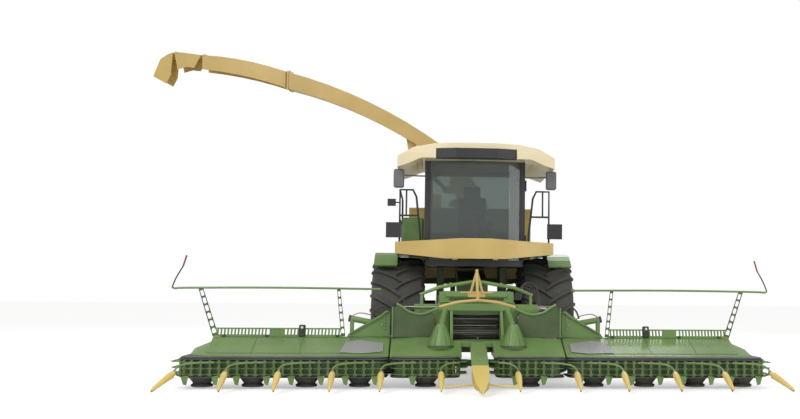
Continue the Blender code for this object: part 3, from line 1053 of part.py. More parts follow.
# ---------------------------------------------------------------- whole machine
def settle_origin():
    """Move the root so that the origin lies under the middle of the machine's box."""
    bpy.context.view_layer.update()
    graph = bpy.context.evaluated_depsgraph_get()
    corners = [obj.matrix_world @ Vector(corner) for obj in PARTS.objects if obj.type == "MESH"
               for corner in obj.evaluated_get(graph).bound_box]
    for axis in (0, 1):
        places = [corner[axis] for corner in corners]
        ROOT.location[axis] = -(min(places) + max(places)) / 2


def build():
    """Build every sub-part of the harvester."""
    running_gear()
    frame()
    crop_flow()
    cab()
    cab_surroundings()
    rear_body()
    spout()
    knuckles = header_middle()
    for side_name, side in SIDES:
        header_wing(side_name, side, knuckles[side_name])
    settle_origin()


build()
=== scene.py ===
"""Looks of a self-propelled forage harvester with a wide maize header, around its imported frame.

Lengths are metres. Pieces are laid out in the machine's own frame, with X = 0 on the middle plane and
+X to the machine's left, Y = 0 at the front axle and +Y rearwards, and Z = 0 on the ground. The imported
frame's origin lies elsewhere, so each finished mesh is moved by HERE.
"""
from __future__ import annotations

import logging
from collections.abc import Callable, Iterable, Sequence
from dataclasses import dataclass
from enum import Enum
from math import atan2, cos, degrees, hypot, pi, radians, sin

import bmesh
import bpy
from mathutils import Matrix, Vector


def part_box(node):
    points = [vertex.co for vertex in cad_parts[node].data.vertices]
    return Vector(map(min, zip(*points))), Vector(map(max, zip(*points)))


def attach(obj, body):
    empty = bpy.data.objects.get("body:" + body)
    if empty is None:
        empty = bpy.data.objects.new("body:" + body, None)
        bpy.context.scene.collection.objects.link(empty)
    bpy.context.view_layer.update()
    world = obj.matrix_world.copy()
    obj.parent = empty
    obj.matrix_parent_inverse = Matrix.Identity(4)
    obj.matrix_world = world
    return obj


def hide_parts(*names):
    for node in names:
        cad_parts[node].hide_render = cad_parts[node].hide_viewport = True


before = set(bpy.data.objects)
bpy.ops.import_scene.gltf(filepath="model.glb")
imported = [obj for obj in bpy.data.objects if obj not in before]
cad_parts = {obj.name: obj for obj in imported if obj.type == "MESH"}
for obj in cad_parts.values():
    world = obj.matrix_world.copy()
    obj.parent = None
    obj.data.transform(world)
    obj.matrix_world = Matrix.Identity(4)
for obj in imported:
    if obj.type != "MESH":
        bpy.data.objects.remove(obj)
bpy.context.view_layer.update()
LOG = logging.getLogger("forage_harvester")

Point = Sequence[float]
Limits = tuple[float, float]

WHEEL_LEFT, WHEEL_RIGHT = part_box("tyre_front_left"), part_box("tyre_front_right")
HERE = Matrix.Translation(((WHEEL_LEFT[1].x + WHEEL_RIGHT[0].x) / 2, (WHEEL_LEFT[0].y + WHEEL_LEFT[1].y) / 2, 0))
BACK = HERE.inverted()
SIDES = (("left", 1), ("right", -1))


def cad(node: str) -> tuple[Vector, Vector]:
    """Lowest and highest corner of a CAD node in the machine's own frame."""
    low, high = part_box(node)
    return BACK @ low, BACK @ high


# ---------------------------------------------------------------- finishes
class Slot(Enum):
    """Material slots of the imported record."""

    YELLOW = "yellow_paint"
    PALE = "pale_paint"
    GREEN = "green_paint"
    DARK_GREEN = "dark_green_paint"
    BLACK = "black_plastic"
    GREY = "grey_plastic"
    STEEL = "steel"
    CHROME = "chrome"
    IRON = "cast_iron"
    TYRE = "tyre_rubber"
    GLASS = "glass"
    FABRIC = "seat_fabric"


def group_socket(group: bpy.types.NodeTree, name: str, is_input: bool, kind: str, value: object = None) -> None:
    """Add a socket to a shader node group.

    Args:
        group: Group that gets the socket.
        name: Name of the socket.
        is_input: True for an input, False for an output.
        kind: Socket type, such as NodeSocketFloat.
        value: Default value, or None to leave it.
    """
    socket = group.interface.new_socket(name=name, in_out="INPUT" if is_input else "OUTPUT", socket_type=kind)
    if value is not None:
        socket.default_value = value


def noise_node(tree: bpy.types.NodeTree, scale: float, detail: float, vector: bpy.types.NodeSocket) -> bpy.types.Node:
    """Noise texture node of a scale and detail on a vector."""
    node = tree.nodes.new("ShaderNodeTexNoise")
    node.inputs["Scale"].default_value = scale
    node.inputs["Detail"].default_value = detail
    tree.links.new(vector, node.inputs["Vector"])
    return node


def ramp(tree: bpy.types.NodeTree, value: bpy.types.NodeSocket, limits: Limits, to: Limits) -> bpy.types.Node:
    """Clamped Map Range node that takes a value from one range to another."""
    node = tree.nodes.new("ShaderNodeMapRange")
    tree.links.new(value, node.inputs["Value"])
    for name, number in zip(("From Min", "From Max", "To Min", "To Max"), (*limits, *to)):
        node.inputs[name].default_value = number
    return node


def field_dust() -> bpy.types.NodeTree:
    """Group that gives a mask of dust, thicker low on the machine and patchy all over."""
    group = bpy.data.node_groups.new("field_dust", "ShaderNodeTree")
    group_socket(group, "Vector", True, "NodeSocketVector")
    group_socket(group, "Low", True, "NodeSocketFloat", 0.4)
    group_socket(group, "High", True, "NodeSocketFloat", 0.1)
    group_socket(group, "Mask", False, "NodeSocketFloat")
    inside, outside = group.nodes.new("NodeGroupInput"), group.nodes.new("NodeGroupOutput")
    split = group.nodes.new("ShaderNodeSeparateXYZ")
    group.links.new(inside.outputs["Vector"], split.inputs[0])
    height = ramp(group, split.outputs["Z"], (0.1, 2.2), (0.0, 1.0))
    mix = group.nodes.new("ShaderNodeMix")
    group.links.new(height.outputs[0], mix.inputs["Factor"])
    group.links.new(inside.outputs["Low"], mix.inputs[2])
    group.links.new(inside.outputs["High"], mix.inputs[3])
    broad = ramp(group, noise_node(group, 2.3, 6.0, inside.outputs["Vector"]).outputs[0], (0.35, 0.70), (0.25, 1.0))
    fine = ramp(group, noise_node(group, 46.0, 3.0, inside.outputs["Vector"]).outputs[0], (0.30, 0.75), (0.55, 1.0))
    first, second = group.nodes.new("ShaderNodeMath"), group.nodes.new("ShaderNodeMath")
    first.operation = second.operation = "MULTIPLY"
    group.links.new(mix.outputs[0], first.inputs[0])
    group.links.new(broad.outputs[0], first.inputs[1])
    group.links.new(first.outputs[0], second.inputs[0])
    group.links.new(fine.outputs[0], second.inputs[1])
    group.links.new(second.outputs[0], outside.inputs["Mask"])
    return group


def surface_grain() -> bpy.types.NodeTree:
    """Group that gives a normal with fine grain, and the grain itself as a value from 0 to 1."""
    group = bpy.data.node_groups.new("surface_grain", "ShaderNodeTree")
    group_socket(group, "Vector", True, "NodeSocketVector")
    group_socket(group, "Scale", True, "NodeSocketFloat", 60.0)
    group_socket(group, "Stretch", True, "NodeSocketVector", (1.0, 1.0, 1.0))
    group_socket(group, "Depth", True, "NodeSocketFloat", 0.001)
    group_socket(group, "Normal", False, "NodeSocketVector")
    group_socket(group, "Value", False, "NodeSocketFloat")
    inside, outside = group.nodes.new("NodeGroupInput"), group.nodes.new("NodeGroupOutput")
    scaled = group.nodes.new("ShaderNodeVectorMath")
    scaled.operation = "MULTIPLY"
    group.links.new(inside.outputs["Vector"], scaled.inputs[0])
    group.links.new(inside.outputs["Stretch"], scaled.inputs[1])
    grain = noise_node(group, 60.0, 4.0, scaled.outputs[0])
    group.links.new(inside.outputs["Scale"], grain.inputs["Scale"])
    bump = group.nodes.new("ShaderNodeBump")
    bump.inputs["Strength"].default_value = 1.0
    group.links.new(grain.outputs[0], bump.inputs["Height"])
    group.links.new(inside.outputs["Depth"], bump.inputs["Distance"])
    group.links.new(bump.outputs[0], outside.inputs["Normal"])
    group.links.new(grain.outputs[0], outside.inputs["Value"])
    return group


DUST_GROUP, GRAIN_GROUP = field_dust(), surface_grain()


@dataclass(frozen=True)
class Finish:
    """A surface finish and the numbers of its shader; colours are linear."""

    name: str
    slot: Slot
    colour: tuple[float, float, float]
    shade: tuple[float, float, float]
    rough: Limits = (0.35, 0.5)
    metallic: float = 0.0
    coat: float = 0.0
    grain: float = 60.0
    depth: float = 0.0004
    stretch: tuple[float, float, float] = (1.0, 1.0, 1.0)
    dust: Limits = (0.30, 0.06)
    transmission: float = 0.0
    stripes: float = 0.0

    def material(self) -> bpy.types.Material:
        """Material of this finish, made once.

        Returns:
            The material, with colour variation, dust, roughness and grain from its nodes.
        """
        found = bpy.data.materials.get(self.name)
        if found:
            return found
        material = bpy.data.materials.new(self.name)
        material.use_nodes = True
        tree = material.node_tree
        shader = tree.nodes["Principled BSDF"]
        shader.inputs["Metallic"].default_value = self.metallic
        shader.inputs["Transmission Weight"].default_value = self.transmission
        shader.inputs["Coat Weight"].default_value = self.coat
        shader.inputs["Coat Roughness"].default_value = 0.12
        where = tree.nodes.new("ShaderNodeTexCoord").outputs["Object"]
        grain = tree.nodes.new("ShaderNodeGroup")
        grain.node_tree = GRAIN_GROUP
        grain.inputs["Scale"].default_value = self.grain
        grain.inputs["Stretch"].default_value = self.stretch
        grain.inputs["Depth"].default_value = self.depth
        tree.links.new(where, grain.inputs["Vector"])
        tree.links.new(grain.outputs["Normal"], shader.inputs["Normal"])
        blotch = ramp(tree, noise_node(tree, 1.7, 3.0, where).outputs[0], (0.3, 0.7), (0.0, 1.0))
        paint = self._mix(tree, blotch.outputs[0], self.colour, self.shade)
        if self.stripes:
            paint = self._striped(tree, where, paint)
        dust = tree.nodes.new("ShaderNodeGroup")
        dust.node_tree = DUST_GROUP
        dust.inputs["Low"].default_value, dust.inputs["High"].default_value = self.dust
        tree.links.new(where, dust.inputs["Vector"])
        dirty = self._mix(tree, dust.outputs["Mask"], paint, (0.30, 0.26, 0.20))
        tree.links.new(dirty, shader.inputs["Base Color"])
        rough = ramp(tree, grain.outputs["Value"], (0.3, 0.7), self.rough)
        tree.links.new(rough.outputs[0], shader.inputs["Roughness"])
        return material

    @staticmethod
    def _mix(tree: bpy.types.NodeTree, factor: bpy.types.NodeSocket, *colours: object) -> bpy.types.NodeSocket:
        """Colour socket that mixes two colours or colour sockets by a factor."""
        node = tree.nodes.new("ShaderNodeMix")
        node.data_type = "RGBA"
        tree.links.new(factor, node.inputs["Factor"])
        for socket, colour in zip((node.inputs[6], node.inputs[7]), colours):
            if isinstance(colour, tuple):
                socket.default_value = (*colour, 1.0)
            else:
                tree.links.new(colour, socket)
        return node.outputs[2]

    def _striped(self, tree: bpy.types.NodeTree, where: bpy.types.NodeSocket,
                 paint: bpy.types.NodeSocket) -> bpy.types.NodeSocket:
        """Colour socket with white diagonal stripes; the sign of stripes is their slant."""
        split, slanted = tree.nodes.new("ShaderNodeSeparateXYZ"), tree.nodes.new("ShaderNodeMath")
        tree.links.new(where, split.inputs[0])
        slanted.operation = "MULTIPLY_ADD"
        tree.links.new(split.outputs["X"], slanted.inputs[0])
        slanted.inputs[1].default_value = -1.0 if self.stripes > 0 else 1.0
        tree.links.new(split.outputs["Z"], slanted.inputs[2])
        wave, band = tree.nodes.new("ShaderNodeMath"), tree.nodes.new("ShaderNodeMath")
        wave.operation, band.operation = "PINGPONG", "GREATER_THAN"
        wave.inputs[1].default_value = abs(self.stripes)
        band.inputs[1].default_value = abs(self.stripes) / 2
        tree.links.new(slanted.outputs[0], wave.inputs[0])
        tree.links.new(wave.outputs[0], band.inputs[0])
        return self._mix(tree, band.outputs[0], paint, (0.72, 0.70, 0.66))


YELLOW = Finish("harvest_yellow", Slot.YELLOW, (0.68, 0.49, 0.155), (0.60, 0.42, 0.125), coat=0.25,
                dust=(0.34, 0.12))
SPOUT_YELLOW = Finish("chute_yellow", Slot.YELLOW, (0.60, 0.42, 0.125), (0.53, 0.36, 0.10), coat=0.15,
                      rough=(0.4, 0.55), dust=(0.3, 0.14))
TIP_YELLOW = Finish("tip_yellow", Slot.YELLOW, (0.86, 0.66, 0.20), (0.80, 0.58, 0.16), rough=(0.3, 0.42),
                    dust=(0.16, 0.1))
PALE = Finish("roof_cream", Slot.PALE, (0.86, 0.75, 0.50), (0.82, 0.70, 0.45), coat=0.3, dust=(0.2, 0.07))
GREEN = Finish("crop_green", Slot.GREEN, (0.165, 0.310, 0.075), (0.125, 0.250, 0.058), coat=0.2,
               dust=(0.42, 0.15))
DARK_GREEN = Finish("shaded_green", Slot.DARK_GREEN, (0.060, 0.125, 0.034), (0.045, 0.095, 0.026),
                    dust=(0.45, 0.2))
BAND = Finish("chain_band", Slot.GREY, (0.115, 0.118, 0.125), (0.080, 0.082, 0.088), rough=(0.4, 0.6),
              metallic=0.4, grain=35.0, depth=0.004, dust=(0.2, 0.1))
BLACK = Finish("black_moulding", Slot.BLACK, (0.022, 0.023, 0.025), (0.030, 0.031, 0.032), rough=(0.42, 0.6),
               grain=220.0, depth=0.0003, dust=(0.25, 0.05))
GREY = Finish("grey_moulding", Slot.GREY, (0.17, 0.175, 0.18), (0.14, 0.145, 0.15), grain=220.0,
              dust=(0.3, 0.08))
PLATE_GREY = Finish("galvanised_plate", Slot.GREY, (0.42, 0.43, 0.43), (0.34, 0.35, 0.35), rough=(0.4, 0.55),
                    metallic=0.3, dust=(0.3, 0.1))
STEEL = Finish("worn_steel", Slot.STEEL, (0.42, 0.41, 0.39), (0.33, 0.32, 0.30), rough=(0.25, 0.45),
               metallic=0.9, grain=90.0, stretch=(0.12, 1.0, 1.0), dust=(0.3, 0.1))
CHROME = Finish("bright_chrome", Slot.CHROME, (0.78, 0.78, 0.78), (0.72, 0.72, 0.73), rough=(0.06, 0.14),
                metallic=1.0, depth=0.00005, dust=(0.1, 0.03))
IRON = Finish("axle_iron", Slot.IRON, (0.055, 0.060, 0.056), (0.040, 0.044, 0.042), rough=(0.5, 0.7),
              metallic=0.3, depth=0.001, dust=(0.45, 0.2))
RUBBER = Finish("field_rubber", Slot.TYRE, (0.050, 0.052, 0.050), (0.038, 0.039, 0.038), rough=(0.65, 0.85),
                grain=150.0, depth=0.0008, dust=(0.32, 0.15))
HOSE = Finish("hose_rubber", Slot.BLACK, (0.018, 0.018, 0.019), (0.026, 0.026, 0.026), rough=(0.45, 0.6),
              grain=300.0, dust=(0.25, 0.08))
GLASS = Finish("cab_glass", Slot.GLASS, (0.36, 0.42, 0.40), (0.34, 0.40, 0.38), rough=(0.02, 0.05), depth=0.0,
               dust=(0.05, 0.03), transmission=0.85)
LAMP_GLASS = Finish("lamp_glass", Slot.GLASS, (0.72, 0.74, 0.74), (0.62, 0.64, 0.64), rough=(0.04, 0.10),
                    metallic=0.55, grain=120.0, depth=0.0006, dust=(0.1, 0.04), coat=1.0)
AMBER = Finish("amber_lens", Slot.GLASS, (0.78, 0.25, 0.025), (0.66, 0.19, 0.02), rough=(0.08, 0.15),
               coat=0.8, dust=(0.1, 0.04))
RED = Finish("red_lens", Slot.GLASS, (0.42, 0.022, 0.018), (0.34, 0.018, 0.015), rough=(0.12, 0.2), coat=0.5,
             dust=(0.2, 0.08))
BOARD_LEFT = Finish("board_slant_left", Slot.BLACK, (0.40, 0.045, 0.028), (0.34, 0.038, 0.025), stripes=0.075,
                    rough=(0.35, 0.5), dust=(0.2, 0.1))
BOARD_RIGHT = Finish("board_slant_right", Slot.BLACK, (0.40, 0.045, 0.028), (0.34, 0.038, 0.025),
                     stripes=-0.075, rough=(0.35, 0.5), dust=(0.2, 0.1))
FABRIC = Finish("seat_cloth", Slot.FABRIC, (0.045, 0.046, 0.050), (0.060, 0.061, 0.066), rough=(0.8, 0.95),
                grain=420.0, depth=0.0012, dust=(0.1, 0.05))
MIRROR = Finish("mirror_glass", Slot.CHROME, (0.55, 0.57, 0.58), (0.50, 0.52, 0.53), rough=(0.02, 0.06),
                metallic=1.0, depth=0.0, dust=(0.06, 0.04))


# ---------------------------------------------------------------- modelling
def toward(start: Point, end: Point) -> Matrix:
    """Matrix that stands a unit shape's Z axis on the line from start to end, at its middle."""
    a, b = Vector(start), Vector(end)
    turn = (b - a).to_track_quat("Z", "Y").to_matrix().to_4x4()
    return Matrix.Translation((a + b) / 2) @ turn


MIRROR_X = Matrix.Diagonal((-1, 1, 1, 1))
AS_IS = Matrix.Identity(4)


def on_side(side: int) -> Matrix:
    """Placement that puts a piece laid out for the machine's left on a side."""
    return AS_IS if side > 0 else MIRROR_X


class Piece:
    """One visible piece, made of bmesh shapes, each with its own finish."""

    def __init__(self, name: str, body: str, finish: Finish, place: Matrix | None = None) -> None:
        """Start an empty piece.

        Args:
            name: Name of the object.
            body: CAD body that it rides on.
            finish: Finish of shapes that name none, and of the piece's slot.
            place: Placement of the piece's own plane in the machine's frame, if it has one.
        """
        self.name, self.body, self.finish = name, body, finish
        self.place = place or Matrix.Identity(4)
        self.finishes: list[Finish] = [finish]
        self.mesh = bmesh.new()

    def add(self, shape: bmesh.types.BMesh, finish: Finish | None = None,
            copies: Iterable[Matrix] = (Matrix.Identity(4),)) -> None:
        """Put a shape into the piece, once for each placement, and free it.

        Args:
            shape: Shape to add.
            finish: Its finish, or None for the piece's own.
            copies: Placements of the copies.
        """
        finish = finish or self.finish
        if finish not in self.finishes:
            self.finishes.append(finish)
        bmesh.ops.recalc_face_normals(shape, faces=shape.faces)
        for face in shape.faces:
            face.material_index = self.finishes.index(finish)
        plain = bpy.data.meshes.new("working")
        shape.to_mesh(plain)
        for copy in copies:
            turned = plain.copy()
            turned.transform(copy)
            if copy.determinant() < 0:
                turned.flip_normals()
            self.mesh.from_mesh(turned)
            bpy.data.meshes.remove(turned)
        bpy.data.meshes.remove(plain)
        shape.free()

    def block(self, x: Limits, y: Limits, z: Limits, finish: Finish | None = None, bevel: float = 0.004,
              copies: Iterable[Matrix] = (Matrix.Identity(4),), segments: int = 1) -> None:
        """Add a box with bevelled edges between limits on each axis."""
        shape = bmesh.new()
        low, high = Vector((min(x), min(y), min(z))), Vector((max(x), max(y), max(z)))
        size = high - low
        bmesh.ops.create_cube(shape, size=1.0, matrix=Matrix.Translation((low + high) / 2)
                              @ Matrix.Diagonal((*size, 1.0)))
        if bevel:
            soften(shape, min(bevel, min(size) * 0.4), segments)
        self.add(shape, finish, copies)

    def rod(self, start: Point, end: Point, radius: float, finish: Finish | None = None, sides: int = 12,
            end_radius: float | None = None, bevel: float = 0.0,
            copies: Iterable[Matrix] = (Matrix.Identity(4),)) -> None:
        """Add a round bar or cone from start to end."""
        shape = bmesh.new()
        length = (Vector(end) - Vector(start)).length
        bmesh.ops.create_cone(shape, cap_ends=True, segments=sides, radius1=radius,
                              radius2=radius if end_radius is None else end_radius, depth=length,
                              matrix=toward(start, end))
        if bevel:
            rims = [edge for edge in shape.edges if any(len(face.verts) > 4 for face in edge.link_faces)]
            bmesh.ops.bevel(shape, geom=rims, offset=bevel, affect="EDGES", segments=2, profile=0.5, material=-1)
        self.add(shape, finish, copies)

    def ball(self, centre: Point, radii: Point, finish: Finish | None = None, steps: int = 16,
             copies: Iterable[Matrix] = (Matrix.Identity(4),)) -> None:
        """Add an ellipsoid."""
        shape = bmesh.new()
        bmesh.ops.create_uvsphere(shape, u_segments=steps, v_segments=steps // 2, radius=1.0,
                                  matrix=Matrix.Translation(centre) @ Matrix.Diagonal((*radii, 1.0)))
        self.add(shape, finish, copies)

    def turned(self, profile: Sequence[Point], centre: Point, axis: Point, finish: Finish | None = None,
               steps: int = 24, copies: Iterable[Matrix] = (Matrix.Identity(4),), closed: bool = False) -> None:
        """Add a shape turned from a profile of (radius, distance along the axis)."""
        shape = bmesh.new()
        points = [shape.verts.new((radius, 0.0, along)) for radius, along in profile]
        pairs = list(zip(points, points[1:])) + ([(points[-1], points[0])] if closed else [])
        edges = [shape.edges.new(pair) for pair in pairs]
        bmesh.ops.spin(shape, geom=[*points, *edges], cent=(0, 0, 0), axis=(0, 0, 1), dvec=(0, 0, 0),
                       angle=2 * pi, steps=steps, use_merge=True, use_duplicate=False)
        bmesh.ops.remove_doubles(shape, verts=shape.verts, dist=1e-5)
        stand = Matrix.Translation(centre) @ Vector(axis).to_track_quat("Z", "Y").to_matrix().to_4x4()
        bmesh.ops.transform(shape, matrix=stand, verts=shape.verts)
        self.add(shape, finish, copies)

    def sheet(self, outline: Sequence[Point], plane: str, limits: Limits, finish: Finish | None = None,
              bevel: float = 0.003, copies: Iterable[Matrix] = (Matrix.Identity(4),)) -> None:
        """Add a flat outline in the YZ, XZ or XY plane, extruded between limits on the third axis."""
        shape = slab(outline, plane, limits)
        if bevel:
            soften(shape, min(bevel, abs(limits[1] - limits[0]) * 0.4), 1)
        self.add(shape, finish, copies)

    def pipe(self, points: Sequence[Point], radius: float, finish: Finish | None = None, sides: int = 8,
             copies: Iterable[Matrix] = (Matrix.Identity(4),), loop: bool = False) -> None:
        """Add a round tube along points, its ring of edges extruded from each point to the next."""
        path = [Vector(point) for point in points]
        shape = bmesh.new()
        ring = bmesh.ops.create_circle(shape, cap_ends=not loop, segments=sides, radius=radius)["verts"]
        edges = list({edge for vert in ring for edge in vert.link_edges})
        if loop:
            path.append(path[0])
        frames = tube_frames(path, loop)
        bmesh.ops.transform(shape, matrix=frames[0], verts=ring)
        for before, after in zip(frames, frames[1:]):
            made = bmesh.ops.extrude_edge_only(shape, edges=edges)["geom"]
            ring = [item for item in made if isinstance(item, bmesh.types.BMVert)]
            edges = [item for item in made if isinstance(item, bmesh.types.BMEdge)]
            bmesh.ops.transform(shape, matrix=after @ before.inverted(), verts=ring)
        if loop:
            bmesh.ops.remove_doubles(shape, verts=shape.verts, dist=radius * 0.3)
        else:
            bmesh.ops.contextual_create(shape, geom=edges)
        self.add(shape, finish, copies)

    def done(self, *replaced: str, sharp: float = 38.0) -> bpy.types.Object:
        """Finish the piece.

        Args:
            replaced: CAD nodes that it stands for.
            sharp: Angle in degrees over which an edge stays sharp.

        Returns:
            The piece's object, which rides on its body.
        """
        mesh = bpy.data.meshes.new(self.name)
        self.mesh.to_mesh(mesh)
        self.mesh.free()
        mesh.transform(HERE @ self.place)
        if self.place.determinant() < 0:
            mesh.flip_normals()
        mesh.shade_smooth()
        mesh.set_sharp_from_angle(angle=radians(sharp))
        for finish in self.finishes:
            mesh.materials.append(finish.material())
        piece = bpy.data.objects.new(self.name, mesh)
        bpy.context.scene.collection.objects.link(piece)
        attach(piece, self.body)
        if replaced:
            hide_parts(*replaced)
        LOG.info("%s: %d faces on %s", self.name, len(mesh.polygons), self.body)
        return piece


def slab(outline: Sequence[Point], plane: str, limits: Limits) -> bmesh.types.BMesh:
    """Flat outline in the YZ, XZ or XY plane, extruded between limits on the third axis."""
    shape = bmesh.new()
    low, high = min(limits), max(limits)
    spots = {"YZ": lambda p: (low, *p), "XZ": lambda p: (p[0], low, p[1]), "XY": lambda p: (*p, low)}[plane]
    face = shape.faces.new([shape.verts.new(spots(point)) for point in outline])
    step = {"YZ": (high - low, 0, 0), "XZ": (0, high - low, 0), "XY": (0, 0, high - low)}[plane]
    made = bmesh.ops.extrude_face_region(shape, geom=[face])
    moved = [item for item in made["geom"] if isinstance(item, bmesh.types.BMVert)]
    bmesh.ops.translate(shape, verts=moved, vec=step)
    bmesh.ops.recalc_face_normals(shape, faces=shape.faces)
    return shape


def soften(shape: bmesh.types.BMesh, width: float, segments: int) -> None:
    """Bevel every edge of a shape."""
    bmesh.ops.bevel(shape, geom=shape.edges[:], offset=width, affect="EDGES", segments=segments, profile=0.5,
                    material=-1)


def tube_frames(path: Sequence[Vector], loop: bool) -> list[Matrix]:
    """Placements of a tube's ring at each point of its path, turning no more than the path does."""
    frames: list[Matrix] = []
    turn = None
    for index, point in enumerate(path):
        before = path[index - 1] if index else (path[-2] if loop else point)
        after = path[index + 1] if index + 1 < len(path) else (path[1] if loop else point)
        way = (after - before).normalized()
        if turn is None:
            turn = way.to_track_quat("Z", "Y")
        else:
            turn = (turn @ Vector((0, 0, 1))).rotation_difference(way) @ turn
        frames.append(Matrix.Translation(point) @ turn.to_matrix().to_4x4())
    return frames


def curve_through(points: Sequence[Point], steps: int = 6) -> list[Vector]:
    """Smooth curve through points, as a list of points."""
    path = [Vector(point) for point in points]
    path = [2 * path[0] - path[1], *path, 2 * path[-1] - path[-2]]
    found = []
    for a, b, c, d in zip(path, path[1:], path[2:], path[3:]):
        for index in range(steps):
            t = index / steps
            found.append(0.5 * (2 * b + (c - a) * t + (2 * a - 5 * b + 4 * c - d) * t ** 2
                                + (3 * b - a - 3 * c + d) * t ** 3))
    return [*found, path[-2]]


def row(count: int, first: Point, last: Point) -> list[Matrix]:
    """Placements in an even row from first to last, both included."""
    a, b = Vector(first), Vector(last)
    return [Matrix.Translation(a.lerp(b, index / max(1, count - 1))) for index in range(count)]


def dress(nodes: Iterable[str], finish: Finish) -> None:
    """Give CAD nodes a finish in every material slot."""
    for name in nodes:
        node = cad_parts[name]
        node.data.materials.clear()
        node.data.materials.append(finish.material())


# ---------------------------------------------------------------- stage
@dataclass
class Studio:
    """Pale floor, soft lamps and the camera."""

    lens: float = 47.16
    shift: float = -0.151
    station: Point = (-0.787, -18.958, 1.499)
    yaw: float = 5.03
    pitch: float = 4.41
    roll: float = 0.44
    floor_size: float = 90.0

    def build(self) -> None:
        """Make the camera, the floor, the world and the lamps."""
        self._camera()
        self._floor()
        self._world()
        self._lamp("key_softbox", (-9.0, -13.0, 13.0), (0.0, 0.0, 1.5), 9.0, 1150.0)
        self._lamp("fill_softbox", (13.0, -12.0, 6.0), (0.0, 0.0, 1.8), 9.0, 520.0)
        self._lamp("rear_softbox", (4.0, 15.0, 11.0), (0.0, 1.0, 2.0), 9.0, 700.0)

    def _camera(self) -> None:
        """Camera in front of the header, a little to the machine's right and turned left."""
        yaw, pitch, roll = radians(self.yaw), radians(self.pitch), radians(self.roll)
        ahead = Vector((sin(yaw) * cos(pitch), cos(yaw) * cos(pitch), sin(pitch)))
        right = Vector((cos(yaw), -sin(yaw), 0.0))
        above = right.cross(ahead)
        across, upward = right * cos(roll) + above * sin(roll), above * cos(roll) - right * sin(roll)
        turn = Matrix((across, upward, -ahead)).transposed().to_4x4()
        data = bpy.data.cameras.new("view")
        data.lens, data.shift_x = self.lens, self.shift
        camera = bpy.data.objects.new("view", data)
        camera.matrix_world = HERE @ Matrix.Translation(self.station) @ turn
        bpy.context.scene.collection.objects.link(camera)
        bpy.context.scene.camera = camera

    def _floor(self) -> None:
        """Plain pale floor that shows white to the camera and keeps the machine's shadow."""
        shape = bmesh.new()
        bmesh.ops.create_grid(shape, x_segments=1, y_segments=1, size=self.floor_size)
        mesh = bpy.data.meshes.new("floor")
        shape.to_mesh(mesh)
        shape.free()
        floor = bpy.data.objects.new("floor", mesh)
        floor.location.z = -0.002
        bpy.context.scene.collection.objects.link(floor)
        material = bpy.data.materials.new("pale_floor")
        material.use_nodes = True
        tree = material.node_tree
        shader = tree.nodes["Principled BSDF"]
        shader.inputs["Base Color"].default_value = (0.84, 0.84, 0.83, 1.0)
        shader.inputs["Roughness"].default_value = 0.9
        shader.inputs["Emission Color"].default_value = (1.0, 1.0, 1.0, 1.0)
        path = tree.nodes.new("ShaderNodeLightPath")
        lift = ramp(tree, path.outputs["Is Camera Ray"], (0.0, 1.0), (0.0, 0.42))
        tree.links.new(lift.outputs[0], shader.inputs["Emission Strength"])
        mesh.materials.append(material)

    def _world(self) -> None:
        """White world, full strength to the camera and to rays seen through glass, and softer as a light."""
        world = bpy.data.worlds.new("studio_world")
        bpy.context.scene.world = world
        world.use_nodes = True
        tree = world.node_tree
        background = tree.nodes["Background"]
        background.inputs["Color"].default_value = (1.0, 1.0, 1.0, 1.0)
        path = tree.nodes.new("ShaderNodeLightPath")
        seen = tree.nodes.new("ShaderNodeMath")
        seen.operation = "MAXIMUM"
        tree.links.new(path.outputs["Is Camera Ray"], seen.inputs[0])
        tree.links.new(path.outputs["Is Transmission Ray"], seen.inputs[1])
        strength = ramp(tree, seen.outputs[0], (0.0, 1.0), (0.62, 1.0))
        tree.links.new(strength.outputs[0], background.inputs["Strength"])

    @staticmethod
    def _lamp(name: str, place: Point, target: Point, size: float, power: float) -> None:
        """Square area lamp at a place, aimed at a target."""
        data = bpy.data.lights.new(name, "AREA")
        data.size, data.energy = size, power
        lamp = bpy.data.objects.new(name, data)
        lamp.matrix_world = HERE @ Matrix.Translation(place) @ (
            Vector(target) - Vector(place)).to_track_quat("-Z", "Y").to_matrix().to_4x4()
        bpy.context.scene.collection.objects.link(lamp)


